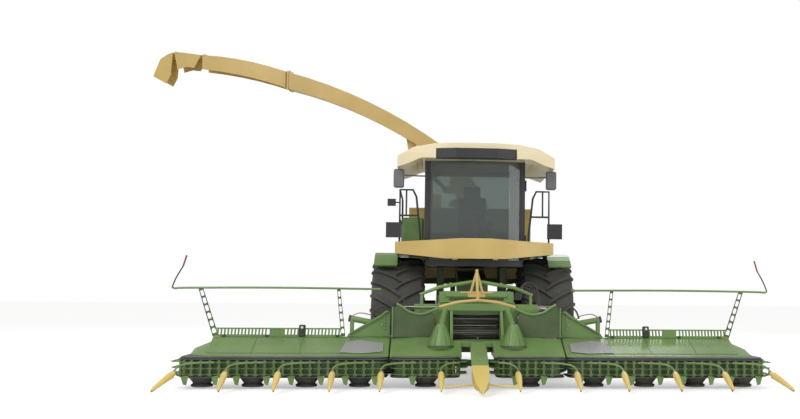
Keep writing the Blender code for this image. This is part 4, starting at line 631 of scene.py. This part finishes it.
# ---------------------------------------------------------------- wheels
@dataclass
class Wheel:
    """Tyre with chevron lugs and rim with its bolts."""

    axle: str
    side_name: str
    side: int
    lugs: int
    lug_height: float
    rim_radius: float

    def __post_init__(self) -> None:
        """Read the wheel's place and size from its CAD tyre."""
        low, high = cad(f"tyre_{self.axle}_{self.side_name}")
        self.centre = (low + high) / 2
        self.radius = self.centre.z = (low.z + high.z) / 2
        self.radius -= low.z
        self.half = (high.x - low.x) / 2
        self.body = f"wheel_{self.axle}_{self.side_name}"

    def build(self) -> None:
        """Make the tyre and the rim."""
        self._tyre()
        self._rim()

    def _section(self, share: float) -> tuple[float, float, float]:
        """Tread at a share of the way from the middle to below the shoulder.

        Args:
            share: 0 on the middle line, 1 at the lug's outer end.

        Returns:
            Distance across, radius and lean of the surface's normal in radians.
        """
        crown = self.radius - self.lug_height
        flat = min(share / 0.82, 1.0)
        over = max(share - 0.82, 0.0) / 0.18
        across = flat * (self.half - 0.055) + over * 0.045
        return across, crown - 0.028 * flat ** 2 - 0.085 * over, radians(8 * flat + 42 * over)

    def _lug(self, side: int) -> bmesh.types.BMesh:
        """One lug, bent round the tyre from a subdivided bar."""
        shape = bmesh.new()
        bmesh.ops.create_cube(shape, size=1.0)
        long_edges = [edge for edge in shape.edges
                      if abs(edge.verts[0].co.x - edge.verts[1].co.x) > 0.5]
        bmesh.ops.subdivide_edges(shape, edges=long_edges, cuts=6, use_grid_fill=True)
        for vert in shape.verts:
            along, width, height = vert.co.x + 0.5, vert.co.y, vert.co.z
            across, radius, lean = self._section(along)
            rise = self.lug_height * (1 - 0.35 * max(along - 0.8, 0) / 0.2) if height > 0 else -0.012
            wide = (0.040 if height > 0 else 0.062) * (1 + 0.35 * along) * self.radius
            across += sin(lean) * rise - 0.03 * (1 - along)
            radius += cos(lean) * rise
            angle = (0.34 * self.half / 0.45 * along ** 0.85 / self.radius) + width * wide / self.radius
            vert.co = (side * across, -radius * cos(angle), radius * sin(angle))
        return shape

    def _tyre(self) -> None:
        """Turned carcass with two staggered rows of lugs."""
        tyre = Piece(f"tyre_tread_{self.axle}_{self.side_name}", self.body, RUBBER)
        bead, crown = self.half * 0.80, self.radius - self.lug_height
        outer = [(self.rim_radius - 0.012, bead - 0.05), (self.rim_radius + 0.01, bead),
                 (self.rim_radius + 0.05, self.half * 0.94), (self.rim_radius * 0.55 + crown * 0.45, self.half),
                 (crown - 0.16, self.half - 0.004), (crown - 0.09, self.half - 0.018),
                 (crown - 0.035, self.half - 0.055), (crown - 0.012, self.half * 0.62), (crown, self.half * 0.25)]
        profile = [*outer, *[(radius, -along) for radius, along in reversed(outer)]]
        tyre.turned(profile, self.centre, (1, 0, 0), steps=72, closed=True)
        for ring in (0.35, 0.62):
            radius = self.rim_radius + (crown - self.rim_radius) * ring
            band = [(radius - 0.012, -0.006), (radius, 0.004), (radius + 0.012, -0.006)]
            for side in (1, -1):
                tyre.turned(band, self.centre + Vector((side * (self.half - 0.002), 0, 0)), (side, 0, 0),
                            steps=72, closed=True)
        pitch = 2 * pi / self.lugs
        for side in (1, -1):
            turns = [Matrix.Translation(self.centre) @ Matrix.Rotation((index + 0.25 * side) * pitch, 4, "X")
                     for index in range(self.lugs)]
            tyre.add(self._lug(side), copies=turns)
        tyre.done(f"tyre_{self.axle}_{self.side_name}", sharp=32)

    def _rim(self) -> None:
        """Smooth turned rim with a dished disc, hub cap and ring of nuts."""
        rim = Piece(f"rim_disc_{self.axle}_{self.side_name}", self.body, PALE)
        lip, bead = self.rim_radius - 0.0005, self.half * 0.80
        well, hub = lip - 0.045, self.rim_radius * 0.42
        face = 0.06
        profile = [(0.0, face), (hub * 0.92, face), (hub, face - 0.012), (hub + 0.01, 0.0),
                   (well * 0.62, -0.035), (well - 0.07, -0.03), (well - 0.04, 0.0), (well - 0.006, bead * 0.45),
                   (well, bead - 0.06), (lip, bead - 0.022), (lip, bead), (lip - 0.018, bead),
                   (lip - 0.022, bead - 0.03)]
        inner = [(lip - 0.022, -bead + 0.03), (lip - 0.018, -bead), (lip, -bead), (lip, -bead + 0.022),
                 (well, -bead + 0.06), (well, -0.10), (hub, -0.12), (hub, -0.159), (0.0, -0.159)]
        rim.turned(profile[:9] + inner[4:], self.centre, (self.side, 0, 0), steps=64)
        rim.turned([(well + 0.0, bead - 0.055), (lip, bead - 0.02), (lip, bead), (lip - 0.02, bead)], self.centre,
                   (self.side, 0, 0), steps=64, closed=True)
        rim.turned([(well + 0.0, -bead + 0.055), (lip, -bead + 0.02), (lip, -bead), (lip - 0.02, -bead)],
                   self.centre, (self.side, 0, 0), steps=64, closed=True)
        spin = [Matrix.Translation(self.centre) @ Matrix.Rotation(index * pi / 6, 4, "X") for index in range(12)]
        ring = hub * 0.78
        rim.rod((self.side * (face - 0.01), ring, 0), (self.side * (face + 0.024), ring, 0), 0.017, STEEL, sides=6,
                copies=spin, bevel=0.003)
        rim.turned([(0.0, face + 0.045), (hub * 0.40, face + 0.04), (hub * 0.46, face + 0.025),
                    (hub * 0.48, face - 0.005)], self.centre, (self.side, 0, 0), IRON, steps=32)
        rim.done(f"rim_{self.axle}_{self.side_name}")


# ---------------------------------------------------------------- header
@dataclass
class Collector:
    """One side of the endless chain of crop fingers, laid out for the machine's left."""

    inner: float
    outer: float
    front: float = -2.92
    rear: float = -2.22
    step: float = 0.133
    corner: float = 0.20
    levels: tuple[float, ...] = (0.405, 0.315, 0.225)

    def _carrier(self) -> bmesh.types.BMesh:
        """Upright of the chain with a finger at each level, pointing forward from the origin."""
        shape = slab([(-0.013, 0.0), (0.013, 0.0), (0.013, 0.035), (-0.013, 0.035)], "XY", (0.19, 0.435))
        finger = [(-0.026, 0.0), (0.030, 0.0), (0.016, -0.055), (-0.020, -0.125), (-0.030, -0.120), (-0.020, -0.05)]
        for index, level in enumerate(self.levels):
            part = slab([(x, y * (1.0 - 0.08 * index)) for x, y in finger], "XY", (level - 0.006, level + 0.006))
            wall = slab([(-0.03, level - 0.028), (0.03, level - 0.028), (0.03, level + 0.01), (-0.03, level + 0.01)],
                        "XZ", (0.001, 0.012))
            for extra in (part, wall):
                mesh = bpy.data.meshes.new("working")
                extra.to_mesh(mesh)
                extra.free()
                shape.from_mesh(mesh)
                bpy.data.meshes.remove(mesh)
        return shape

    def places(self, round_inner: bool, round_outer: bool) -> list[Matrix]:
        """Placements of the carriers along the front and round the corners."""
        first, last = self.inner + self.corner, self.outer - self.corner
        count = int((last - first) / self.step)
        found = row(count + 1, (first + 0.02, self.front, 0), (last - 0.02, self.front, 0))
        for wanted, x, way in ((round_inner, first, -1), (round_outer, last, 1)):
            if not wanted:
                continue
            centre = Matrix.Translation((x, self.front + self.corner, 0))
            found += [centre @ Matrix.Rotation(radians(way * angle), 4, "Z")
                      @ Matrix.Translation((0, -self.corner, 0)) for angle in (28, 58, 88)]
            found += [Matrix.Translation((x + way * self.corner, self.front + self.corner + index * self.step, 0))
                      @ Matrix.Rotation(radians(way * 90), 4, "Z") for index in (1, 2, 3)]
        return found

    def outline(self, inset: float) -> list[Point]:
        """Plan of the loop, drawn in by an inset, with round front corners."""
        corner = self.corner - inset
        points = [(self.inner + inset, self.rear)]
        for x, start in ((self.inner + self.corner, 180), (self.outer - self.corner, 270)):
            points += [(x + corner * cos(radians(start + turn)),
                        self.front + self.corner + corner * sin(radians(start + turn)))
                       for turn in (0, 22.5, 45, 67.5, 90)]
        return [*points, (self.outer - inset, self.rear)]

    def fill(self, piece: Piece, skids: Sequence[float], turn: Matrix, ends: tuple[bool, bool]) -> None:
        """Put the loop, its band, fingers, cutters and skids into a piece.

        Args:
            piece: Piece that gets them.
            skids: Places of the skids along X.
            turn: Placement of the whole loop.
            ends: Whether fingers go round the inner and the outer corner.
        """
        piece.sheet(self.outline(0.075), "XY", (0.19, 0.425), DARK_GREEN, copies=(turn,))
        piece.sheet(self.outline(-0.012), "XY", (0.432, 0.452), BAND, bevel=0.008, copies=(turn,))
        piece.sheet(self.outline(0.02), "XY", (0.452, 0.478), BAND, bevel=0.01, copies=(turn,))
        piece.sheet(self.outline(0.01), "XY", (0.165, 0.187), BAND, bevel=0.006, copies=(turn,))
        piece.add(self._carrier(), GREEN, [turn @ place for place in self.places(*ends)])
        for level in self.levels:
            strip = [(x, y) for x, y, _ in ((*point, 0) for point in self.outline(0.012)[1:-1])]
            piece.pipe([(x, y, level - 0.01) for x, y in strip], 0.008, GREEN, sides=4, copies=(turn,))
        for x in skids:
            centre = (x, self.front + 0.25, 0.0)
            piece.turned([(0.0, 0.185), (0.19, 0.185), (0.20, 0.165), (0.13, 0.075), (0.165, 0.05),
                          (0.155, 0.022), (0.0, 0.014)], centre, (0, 0, 1), IRON, steps=24, copies=(turn,))
            blade = slab([(-0.060, 0.205), (0.055, 0.190), (0.020, 0.075), (-0.028, 0.060)], "XZ",
                         (self.front - 0.03, self.front - 0.016))
            piece.add(blade, GREEN, [turn @ Matrix.Translation((x + gap, 0, 0)) for gap in (-0.24, 0.20)])


@dataclass
class DividerPoints:
    """Yellow divider points with their green guide tubes, laid out for the machine's left."""

    xs: Sequence[float]
    reach: float
    spread: float = 0.20

    def fill(self, piece: Piece, turn: Matrix) -> None:
        """Put the points and tubes into a piece."""
        for x in self.xs:
            out = self.spread if x == self.xs[-1] and self.spread else 0.0
            root, tip = Vector((x, -3.30, 0.272)), Vector((x + out, -3.80, 0.058))
            length = (tip - root).length
            profile = [(0.0, -0.03), (0.020, -0.03), (0.022, 0.0), (0.040, 0.02), (0.050, length * 0.18),
                       (0.044, length * 0.45), (0.026, length * 0.85), (0.013, length * 0.98), (0.0, length)]
            piece.turned(profile, root, tip - root, TIP_YELLOW, steps=18, copies=(turn,))
            piece.rod(root + Vector((0, -0.03, -0.06)), tip + Vector((0, 0.06, -0.015)), 0.010, IRON, sides=8,
                      copies=(turn,))
            piece.rod(root + Vector((0, 0.035, 0.014)), root + Vector((0, -0.005, -0.002)), 0.030, STEEL,
                      copies=(turn,))
            start = max(x - self.reach, 0.30)
            guide = curve_through([(start, -2.985, 0.40), ((start + x) / 2, -3.03, 0.395), (x - 0.07, -3.07, 0.375),
                                   (x, -3.16, 0.33), (x, -3.27, 0.285)], 5)
            piece.pipe(guide, 0.015, GREEN, copies=(turn,))
            piece.pipe([(x, -2.90, 0.20), (x, -3.05, 0.215), (x, -3.28, 0.262)], 0.016, GREEN, copies=(turn,))


@dataclass
class HeaderMiddleAssembly:
    """Middle of the header: fingers, cones' seams, shrouds, divider nose, rollers and lines."""

    body: str = "header"

    def build(self) -> None:
        """Make the pieces of the header's middle."""
        loops = Piece("collector_loops_middle", self.body, DARK_GREEN)
        for side in (1, -1):
            Collector(0.27, 1.348).fill(loops, (0.80,), on_side(side), (True, False))
        loops.block((-0.6, 0.6), (-2.28, -2.21), (0.30, 0.40))
        loops.done("collector_middle")
        self._points()
        self._divider()
        self._shrouds()
        self._rollers()
        self._lines()

    def _points(self) -> None:
        """Points beside the divider, the divider's nose and its cross rods."""
        points = Piece("divider_points_middle", self.body, TIP_YELLOW)
        for side in (1, -1):
            DividerPoints((0.57,), 0.40, 0.0).fill(points, on_side(side))
            points.pipe([(side * 0.57, -3.70, 0.10), (side * 0.30, -3.74, 0.125), (0, -3.72, 0.15)], 0.014)
        nose = slab([(-3.40, 0.235), (-3.40, 0.392), (-3.62, 0.33), (-4.30, 0.085), (-4.30, 0.055),
                     (-3.95, 0.10)], "YZ", (-0.125, 0.125))
        bmesh.ops.subdivide_edges(nose, edges=nose.edges[:], cuts=1, use_grid_fill=False)
        for vert in nose.verts:
            vert.co.x *= 1.0 - 0.90 * max(0.0, min(1.0, (-3.90 - vert.co.y) / 0.40)) ** 0.9
        soften(nose, 0.003, 1)
        points.add(nose)
        points.rod((0, -3.385, 0.30), (0, -3.45, 0.29), 0.05, IRON)
        points.done("middle_tips", sharp=30)

    def _divider(self) -> None:
        """Folded green plate of the centre divider, narrow at its rear."""
        plate = Piece("divider_blade", self.body, GREEN)
        shape = slab([(-2.281, 0.25), (-2.281, 0.58), (-2.42, 0.715), (-2.60, 0.695), (-3.40, 0.395),
                      (-3.40, 0.245), (-2.92, 0.17)], "YZ", (-0.105, 0.105))
        bmesh.ops.bisect_plane(shape, geom=[*shape.verts, *shape.edges, *shape.faces], plane_co=(0, -2.85, 0),
                               plane_no=(0, 1, 0), dist=1e-5)
        for vert in shape.verts:
            wide = 0.72 + 0.50 * min(1.0, max(0.0, (-2.30 - vert.co.y) / 0.55))
            vert.co.x *= wide if vert.co.z > 0.3 else wide * 0.7
        soften(shape, 0.005, 1)
        plate.add(shape)
        for y in (-2.48, -2.70, -3.00, -3.25):
            plate.rod((0.0, y, 0.70 + (y + 2.6) * 0.37), (0.0, y, 0.712 + (y + 2.6) * 0.37 + 0.003), 0.011, STEEL,
                      sides=6)
        plate.done("centre_divider")

    def _shrouds(self) -> None:
        """Walls beside the intake, deck seams, cone ribs, bolts and the fold brackets' boxes."""
        shroud = Piece("intake_shrouds", self.body, GREEN)
        turns = (AS_IS, MIRROR_X)
        wall = [(0.62, 0.745), (1.335, 0.745), (1.335, 1.17), (1.25, 1.26), (1.17, 1.20), (1.05, 1.12),
                (0.86, 1.09), (0.70, 1.16)]
        shape = slab(wall, "XZ", (-2.02, -1.995))
        for vert in shape.verts:
            vert.co.y -= 0.16 * max(0.0, (vert.co.x - 0.62) / 0.715)
        soften(shape, 0.004, 1)
        shroud.add(shape, DARK_GREEN, turns)
        shroud.sheet([(1.325, 0.745), (1.345, 0.745), (1.345, 1.22), (1.325, 1.22)], "XZ", (-2.22, -2.0), copies=turns)
        shroud.pipe(curve_through([(0.62, -2.03, 1.20), (0.86, -2.08, 1.11), (1.06, -2.12, 1.14), (1.18, -2.15, 1.22),
                                   (1.27, -2.17, 1.27)], 5), 0.022, copies=turns)
        shroud.block((0.66, 1.02), (-1.985, -1.90), (0.99, 1.24), copies=(AS_IS,), bevel=0.012)
        shroud.rod((0.72, -2.00, 1.06), (0.72, -1.97, 1.06), 0.075, STEEL, sides=24)
        shroud.turned([(0.062, 0.0), (0.078, 0.0), (0.078, 0.02), (0.062, 0.02)], (0.72, -2.0, 1.06), (0, -1, 0), BLACK,
                      steps=28, closed=True)
        for turn in (45, 135):
            arm = Matrix.Translation((0.72, -2.016, 1.06)) @ Matrix.Rotation(radians(turn), 4, "Y")
            shroud.block((-0.065, 0.065), (-0.006, 0.0), (-0.007, 0.007), BLACK, copies=(arm,))
        shroud.block((-0.50, 0.50), (-2.015, -1.99), (1.385, 1.47), bevel=0.010)
        shroud.block((-0.56, 0.56), (-2.02, -1.995), (1.16, 1.285), bevel=0.016)
        shroud.block((-0.60, 0.60), (-2.03, -1.996), (1.295, 1.325), bevel=0.008)
        cone_centre = Vector((0.575, -2.35, 0.0))
        seams = [Matrix.Translation(cone_centre) @ Matrix.Rotation(radians(index * 60 + 30), 4, "Z")
                 for index in range(6)]
        for turn in turns:
            shroud.block((-0.004, 0.004), (-0.008, 0.0), (0.0, 0.34), bevel=0.0, copies=[
                turn @ seam @ Matrix.Translation((0, -0.214, 0.60)) @ Matrix.Rotation(radians(-22.6), 4, "X")
                for seam in seams])
        shroud.turned([(0.205, 0.60), (0.222, 0.60), (0.222, 0.625), (0.205, 0.635)], cone_centre, (0, 0, 1),
                      DARK_GREEN, steps=40, closed=True, copies=turns)
        shroud.turned([(0.0, 0.965), (0.065, 0.96), (0.076, 0.945), (0.076, 0.93), (0.0, 0.93)], cone_centre, (0, 0, 1),
                      steps=24, copies=turns)
        bolts = [turn @ place for turn in turns for place in row(7, (0.34, -2.70, 0.502), (1.28, -2.70, 0.502))]
        shroud.ball((0, 0, 0), (0.012, 0.012, 0.007), STEEL, 8, copies=bolts)
        shroud.block((0.30, 1.34), (-2.438, -2.432), (0.600, 0.606), DARK_GREEN, 0.0, copies=turns)
        shroud.done()

    def _rollers(self) -> None:
        """Ribbed upper and lower intake rollers, each on its own body."""
        for name, ribs, depth in (("upper", 12, 0.020), ("lower", 16, 0.012)):
            low, high = cad(f"feed_roller_{name}")
            centre, radius = (low + high) / 2, (high.z - low.z) / 2
            roller = Piece(f"ribbed_roller_{name}", f"roller_{name}", STEEL)
            half = (high.x - low.x) / 2
            roller.turned([(0.0, -half), (radius - depth, -half + 0.002), (radius - depth, half - 0.002),
                           (0.0, half)], centre, (1, 0, 0), IRON, steps=40)
            spins = [Matrix.Translation(centre) @ Matrix.Rotation(index * 2 * pi / ribs, 4, "X")
                     for index in range(ribs)]
            roller.block((-half + 0.03, half - 0.03), (-0.006, 0.006), (radius - depth - 0.004, radius - 0.002),
                         bevel=0.002, copies=spins)
            roller.done(f"feed_roller_{name}")

    def _lines(self) -> None:
        """Hydraulic lines and couplings held on the header's frame."""
        lines = Piece("header_lines", self.body, HOSE)
        for index in range(4):
            gap = index * 0.035
            lines.pipe(curve_through([(0.60 + gap, -1.95, 1.34), (0.68 + gap, -1.90, 1.50 + gap),
                                      (0.86 + gap, -1.86, 1.46 + gap), (0.98 + gap * 0.5, -1.88, 1.30),
                                      (1.10, -1.94, 1.20 - gap)], 6), 0.015)
        lines.block((0.98, 1.22), (-1.99, -1.93), (1.17, 1.25), STEEL, 0.006)
        lines.rod((1.04, -2.01, 1.21), (1.28, -2.05, 1.17), 0.020, CHROME)
        for x in (1.02, 1.08, 1.14):
            lines.rod((x, -2.02, 1.21), (x, -1.97, 1.21), 0.014, STEEL, sides=6)
        lines.pipe(curve_through([(-1.28, -2.02, 1.16), (-1.16, -1.99, 1.22), (-0.90, -1.98, 1.215),
                                  (-0.62, -1.97, 1.22)], 5), 0.016, CHROME)
        lines.pipe(curve_through([(-1.05, -1.97, 1.22), (-1.18, -1.95, 1.34), (-1.30, -1.99, 1.22)], 6), 0.011)
        for x, z in ((-0.90, 1.43), (-0.72, 1.50), (0.74, 1.50), (0.90, 1.43), (-0.42, 1.60), (0.40, 1.60)):
            lines.ball((x, -1.975, z), (0.018, 0.010, 0.018), STEEL, 10)
        lines.done()


@dataclass
class WingAssembly:
    """Folding wings: decks, guards, chains, points and link tubes, laid out for the machine's left."""

    inner: float = 1.372
    deck_end: float = 4.12
    outer: float = 4.48
    points: tuple[float, ...] = (1.45, 2.16, 2.94, 3.70, 4.42)
    guard_y: float = -2.06
    guard_z: float = 1.50

    def build(self) -> None:
        """Make both wings."""
        for side_name, side in SIDES:
            body, place = f"wing_{side_name}", on_side(side)
            loops = Piece(f"collector_loop_{side_name}", body, DARK_GREEN, place)
            Collector(self.inner, self.outer).fill(loops, (1.80, 2.60, 3.40, 4.15), AS_IS, (False, True))
            loops.done(f"collector_{side_name}")
            points = Piece(f"divider_points_{side_name}", body, TIP_YELLOW, place)
            DividerPoints(self.points, 0.50).fill(points, AS_IS)
            points.done(f"tips_{side_name}")
            deck = Piece(f"wing_top_{side_name}", body, GREEN, place)
            self._deck(deck)
            self._guard(deck)
            self._link(deck)
            deck.done(f"wing_deck_{side_name}")

    def _deck(self, piece: Piece) -> None:
        """Sloping deck with its rolled front edge, end housing, seams, bolts and grey plate."""
        front, level, rear = -2.74, -2.10, -1.895
        outline = [(front - 0.02, 0.466), (rear, 0.466), (rear, 0.742), (level, 0.742), (front + 0.03, 0.500),
                   (front - 0.02, 0.488)]
        piece.sheet(outline, "YZ", (self.inner, self.deck_end), bevel=0.008)
        end = slab([(front - 0.02, 0.466), (rear - 0.05, 0.466), (rear - 0.05, 0.66), (level, 0.68),
                    (front + 0.03, 0.498)], "YZ", (self.deck_end - 0.004, 4.40))
        for vert in end.verts:
            if vert.co.x > 4.2:
                vert.co.y = max(vert.co.y, front + 0.30)
                vert.co.z = 0.466 + (vert.co.z - 0.466) * 0.45
        soften(end, 0.02, 2)
        piece.add(end)
        slope = atan2(0.742 - 0.50, level - front - 0.03)
        tilt = Matrix.Translation((0, front + 0.03, 0.500)) @ Matrix.Rotation(slope, 4, "X")
        length = hypot(0.242, level - front - 0.03)
        piece.block((self.inner + 0.02, self.deck_end - 0.02), (0.05, 0.056), (0.0, 0.004), DARK_GREEN, 0.0,
                    copies=(tilt,))
        piece.block((self.inner + 0.02, self.deck_end - 0.02), (length - 0.02, length - 0.014), (0.0, 0.004),
                    DARK_GREEN, 0.0, copies=(tilt,))
        for x in (1.98, 2.72, 3.44):
            piece.block((x - 0.003, x + 0.003), (0.02, length), (0.0, 0.0035), DARK_GREEN, 0.0, copies=(tilt,))
        bolts = [tilt @ place for y in (0.025, length * 0.55)
                 for place in row(9, (self.inner + 0.12, y, 0.004), (self.deck_end - 0.1, y, 0.004))]
        piece.ball((0, 0, 0), (0.013, 0.013, 0.006), STEEL, 8, copies=bolts)
        plate = [(1.46, 0.10), (1.70, 0.04), (2.12, 0.06), (2.05, 0.44), (1.86, 0.52), (1.46, 0.40)]
        piece.sheet(plate, "XY", (0.006, 0.016), PLATE_GREY, copies=(tilt,))
        holes = [tilt @ Matrix.Translation((x, y, 0.016)) for x, y in ((1.54, 0.16), (1.54, 0.34), (1.98, 0.12),
                                                                      (1.96, 0.38), (1.75, 0.1), (1.75, 0.42))]
        piece.ball((0, 0, 0), (0.014, 0.014, 0.006), STEEL, 8, copies=holes)
        horn = [(self.inner + 0.005, 0.745), (self.inner + 0.005, 1.14), (1.44, 1.17), (1.52, 1.10), (2.02, 0.80),
                (2.06, 0.745)]
        piece.sheet(horn, "XZ", (-2.035, -2.015))
        piece.sheet([(x, z) for x, z in horn[1:5]] + [(2.0, 0.79), (1.50, 1.07), (1.43, 1.13)], "XZ",
                    (-2.075, -1.985), bevel=0.004)

    def _guard(self, piece: Piece) -> None:
        """Guard with perforated posts, top tube, whisker, slotted bar, clips and lamp block."""
        low, high = self.guard_z - 0.75, self.guard_z
        self._post(piece, (4.09, low), (4.34, high), 0.045)
        self._post(piece, (2.11, low), (2.195, high), 0.034)
        tube = [(1.53, self.guard_y, high), (3.1, self.guard_y, high + 0.012), (4.55, self.guard_y, high),
                (4.72, self.guard_y, high - 0.012), (4.78, self.guard_y, high + 0.01)]
        piece.pipe(curve_through(tube, 4), 0.0165)
        piece.pipe(curve_through([(4.78, self.guard_y, high + 0.01), (4.72, self.guard_y, high + 0.16),
                                  (4.62, self.guard_y, high + 0.34)], 4), 0.011, IRON)
        piece.pipe([(4.62, self.guard_y, high + 0.34), (4.57, self.guard_y, high + 0.51)], 0.014, RED)
        bar_low, bar_high = 0.765, 0.870
        y = (self.guard_y - 0.006, self.guard_y + 0.006)
        for z in (bar_low, bar_high):
            piece.block((2.13, 4.10), (y[0] - 0.004, y[1] + 0.004), (z - 0.011, z + 0.011), bevel=0.003)
        piece.block((3.02, 3.26), y, (bar_low, bar_high))
        slats = [*row(16, (2.18, 0, 0), (2.98, 0, 0)), *row(15, (3.32, 0, 0), (4.06, 0, 0))]
        shape = slab([(-0.014, bar_low), (0.012, bar_low), (0.004, bar_high), (-0.022, bar_high)], "XZ", y)
        piece.add(shape, copies=slats)
        piece.block((2.13, 4.12), (self.guard_y - 0.02, self.guard_y + 0.03), (0.740, 0.756), bevel=0.003)
        piece.block((2.70, 2.80), (self.guard_y - 0.045, self.guard_y + 0.03), (0.745, 0.93), BLACK, 0.012)
        piece.ball((2.75, self.guard_y - 0.05, 0.885), (0.026, 0.018, 0.026), LAMP_GLASS, 14)
        for x in (2.20, 2.74, 3.30, 3.96):
            piece.block((x - 0.025, x + 0.025), (-2.10, -2.065), (0.744, 0.775), IRON, 0.006)
        piece.block((4.02, 4.12), (-2.10, -2.07), (0.742, 0.748), TIP_YELLOW, 0.0)

    def _post(self, piece: Piece, foot: Point, head: Point, half: float) -> None:
        """Leaning post with a row of round holes, made from two edges and the webs between the holes."""
        a, b = Vector((foot[0], self.guard_y, foot[1])), Vector((head[0], self.guard_y, head[1]))
        stand = Matrix.Translation(a) @ Matrix.Rotation(atan2(b.x - a.x, b.z - a.z), 4, "Y")
        length = (b - a).length
        edge = [(half * 0.72, 0.0), (half, 0.0), (half * 0.78, length), (half * 0.52, length)]
        for way in (1, -1):
            piece.sheet([(x * way, z) for x, z in edge], "XZ", (-0.010, 0.010), DARK_GREEN, 0.002, copies=(stand,))
        count = 7
        webs = row(count, (0, 0, 0.02), (0, 0, length - 0.02))
        web = [(-half * 0.80, -0.042), (-half * 0.30, -0.014), (half * 0.30, -0.014), (half * 0.80, -0.042),
               (half * 0.80, 0.042), (half * 0.30, 0.014), (-half * 0.30, 0.014), (-half * 0.80, 0.042)]
        piece.sheet(web, "XZ", (-0.007, 0.007), DARK_GREEN, 0.0, copies=[stand @ place for place in webs[1:-1]])
        for index in (0, -1):
            piece.block((-half * 0.7, half * 0.7), (-0.007, 0.007), (-0.02, 0.03), DARK_GREEN, 0.002,
                        copies=(stand @ webs[index],))

    def _link(self, piece: Piece) -> None:
        """Fold cylinder with its rod, brackets and lines between the wing's inner end and its deck."""
        piece.rod((1.54, -1.98, 0.945), (2.02, -1.98, 1.035), 0.048, bevel=0.006, sides=20)
        piece.rod((2.00, -1.98, 1.031), (2.035, -1.98, 1.038), 0.054, IRON, sides=20)
        piece.rod((1.40, -1.98, 0.92), (1.56, -1.98, 0.949), 0.022, CHROME)
        piece.pipe(curve_through([(1.60, -1.98, 1.00), (1.68, -2.00, 1.085), (1.86, -2.00, 1.12), (1.97, -1.99, 1.08)],
                                 6), 0.009, STEEL)
        for x in (1.50, 1.98):
            piece.block((x - 0.03, x + 0.03), (-2.03, -2.018), (0.742, 0.96 if x < 1.7 else 1.03), bevel=0.003)
            piece.block((x - 0.03, x + 0.03), (-1.945, -1.933), (0.742, 0.96 if x < 1.7 else 1.03), bevel=0.003)
            piece.rod((x, -2.05, 0.94 if x < 1.7 else 1.01), (x, -1.92, 0.94 if x < 1.7 else 1.01), 0.016, STEEL)
        piece.pipe(curve_through([(1.42, -2.05, 1.15), (1.50, -2.06, 1.22), (1.60, -2.07, 1.18), (1.66, -2.07, 1.05)],
                                 6), 0.014, HOSE)
        for index in range(5):
            piece.ball((1.46, -2.045, 1.08 - index * 0.05), (0.014, 0.010, 0.014), STEEL, 8)


ASSEMBLIES = (HeaderMiddleAssembly, WingAssembly)


# ---------------------------------------------------------------- whole machine
NODE_FINISHES: dict[Finish, tuple[str, ...]] = {
    YELLOW: ("front_panel", "body_shell", "service_door_left", "service_door_right", "crop_bow", "body_roof"),
    SPOUT_YELLOW: ("spout_base", "spout_inner", "spout_outer", "spout_flap", "spout_flap_tip"),
    TIP_YELLOW: ("middle_tips", "tips_left", "tips_right"),
    PALE: ("cab_roof", "rim_front_left", "rim_front_right", "rim_rear_left", "rim_rear_right"),
    GREEN: ("header_frame", "wing_deck_left", "wing_deck_right", "centre_divider", "spout_ring", "lift_barrel",
            "walkway_left", "walkway_right"),
    DARK_GREEN: ("main_frame", "chopper_housing", "feeder_housing", "crop_channel", "collector_left",
                 "collector_middle", "collector_right"),
    BLACK: ("cab_floor", "cab_frame", "cab_visor", "cab_door", "railing_left", "railing_right", "rear_grille"),
    GREY: ("mirror_left", "mirror_right"),
    STEEL: ("feed_roller_upper", "feed_roller_lower"),
    CHROME: ("lift_rod",),
    IRON: ("front_axle", "rear_axle", "knuckle_left", "knuckle_right", "engine_block"),
    RUBBER: ("tyre_front_left", "tyre_front_right", "tyre_rear_left", "tyre_rear_right"),
    GLASS: ("windscreen", "rear_glass", "cab_glass_right", "door_glass"),
    FABRIC: ("driver_seat",),
}


def main() -> None:
    """Build the stage and every sub-assembly in order."""
    logging.basicConfig(level=logging.INFO, format="%(name)s %(message)s")
    bpy.context.scene.view_settings.view_transform = "Standard"
    Studio().build()
    for finish, nodes in NODE_FINISHES.items():
        dress(nodes, finish)
    dressed = {name for nodes in NODE_FINISHES.values() for name in nodes}
    LOG.info("CAD nodes without a finish: %s", sorted(set(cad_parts) - dressed))
    for side_name, side in SIDES:
        Wheel("front", side_name, side, lugs=22, lug_height=0.055, rim_radius=0.50).build()
        Wheel("rear", side_name, side, lugs=20, lug_height=0.045, rim_radius=0.36).build()
    for assembly in ASSEMBLIES:
        assembly().build()


if __name__ == "__main__":
    main()
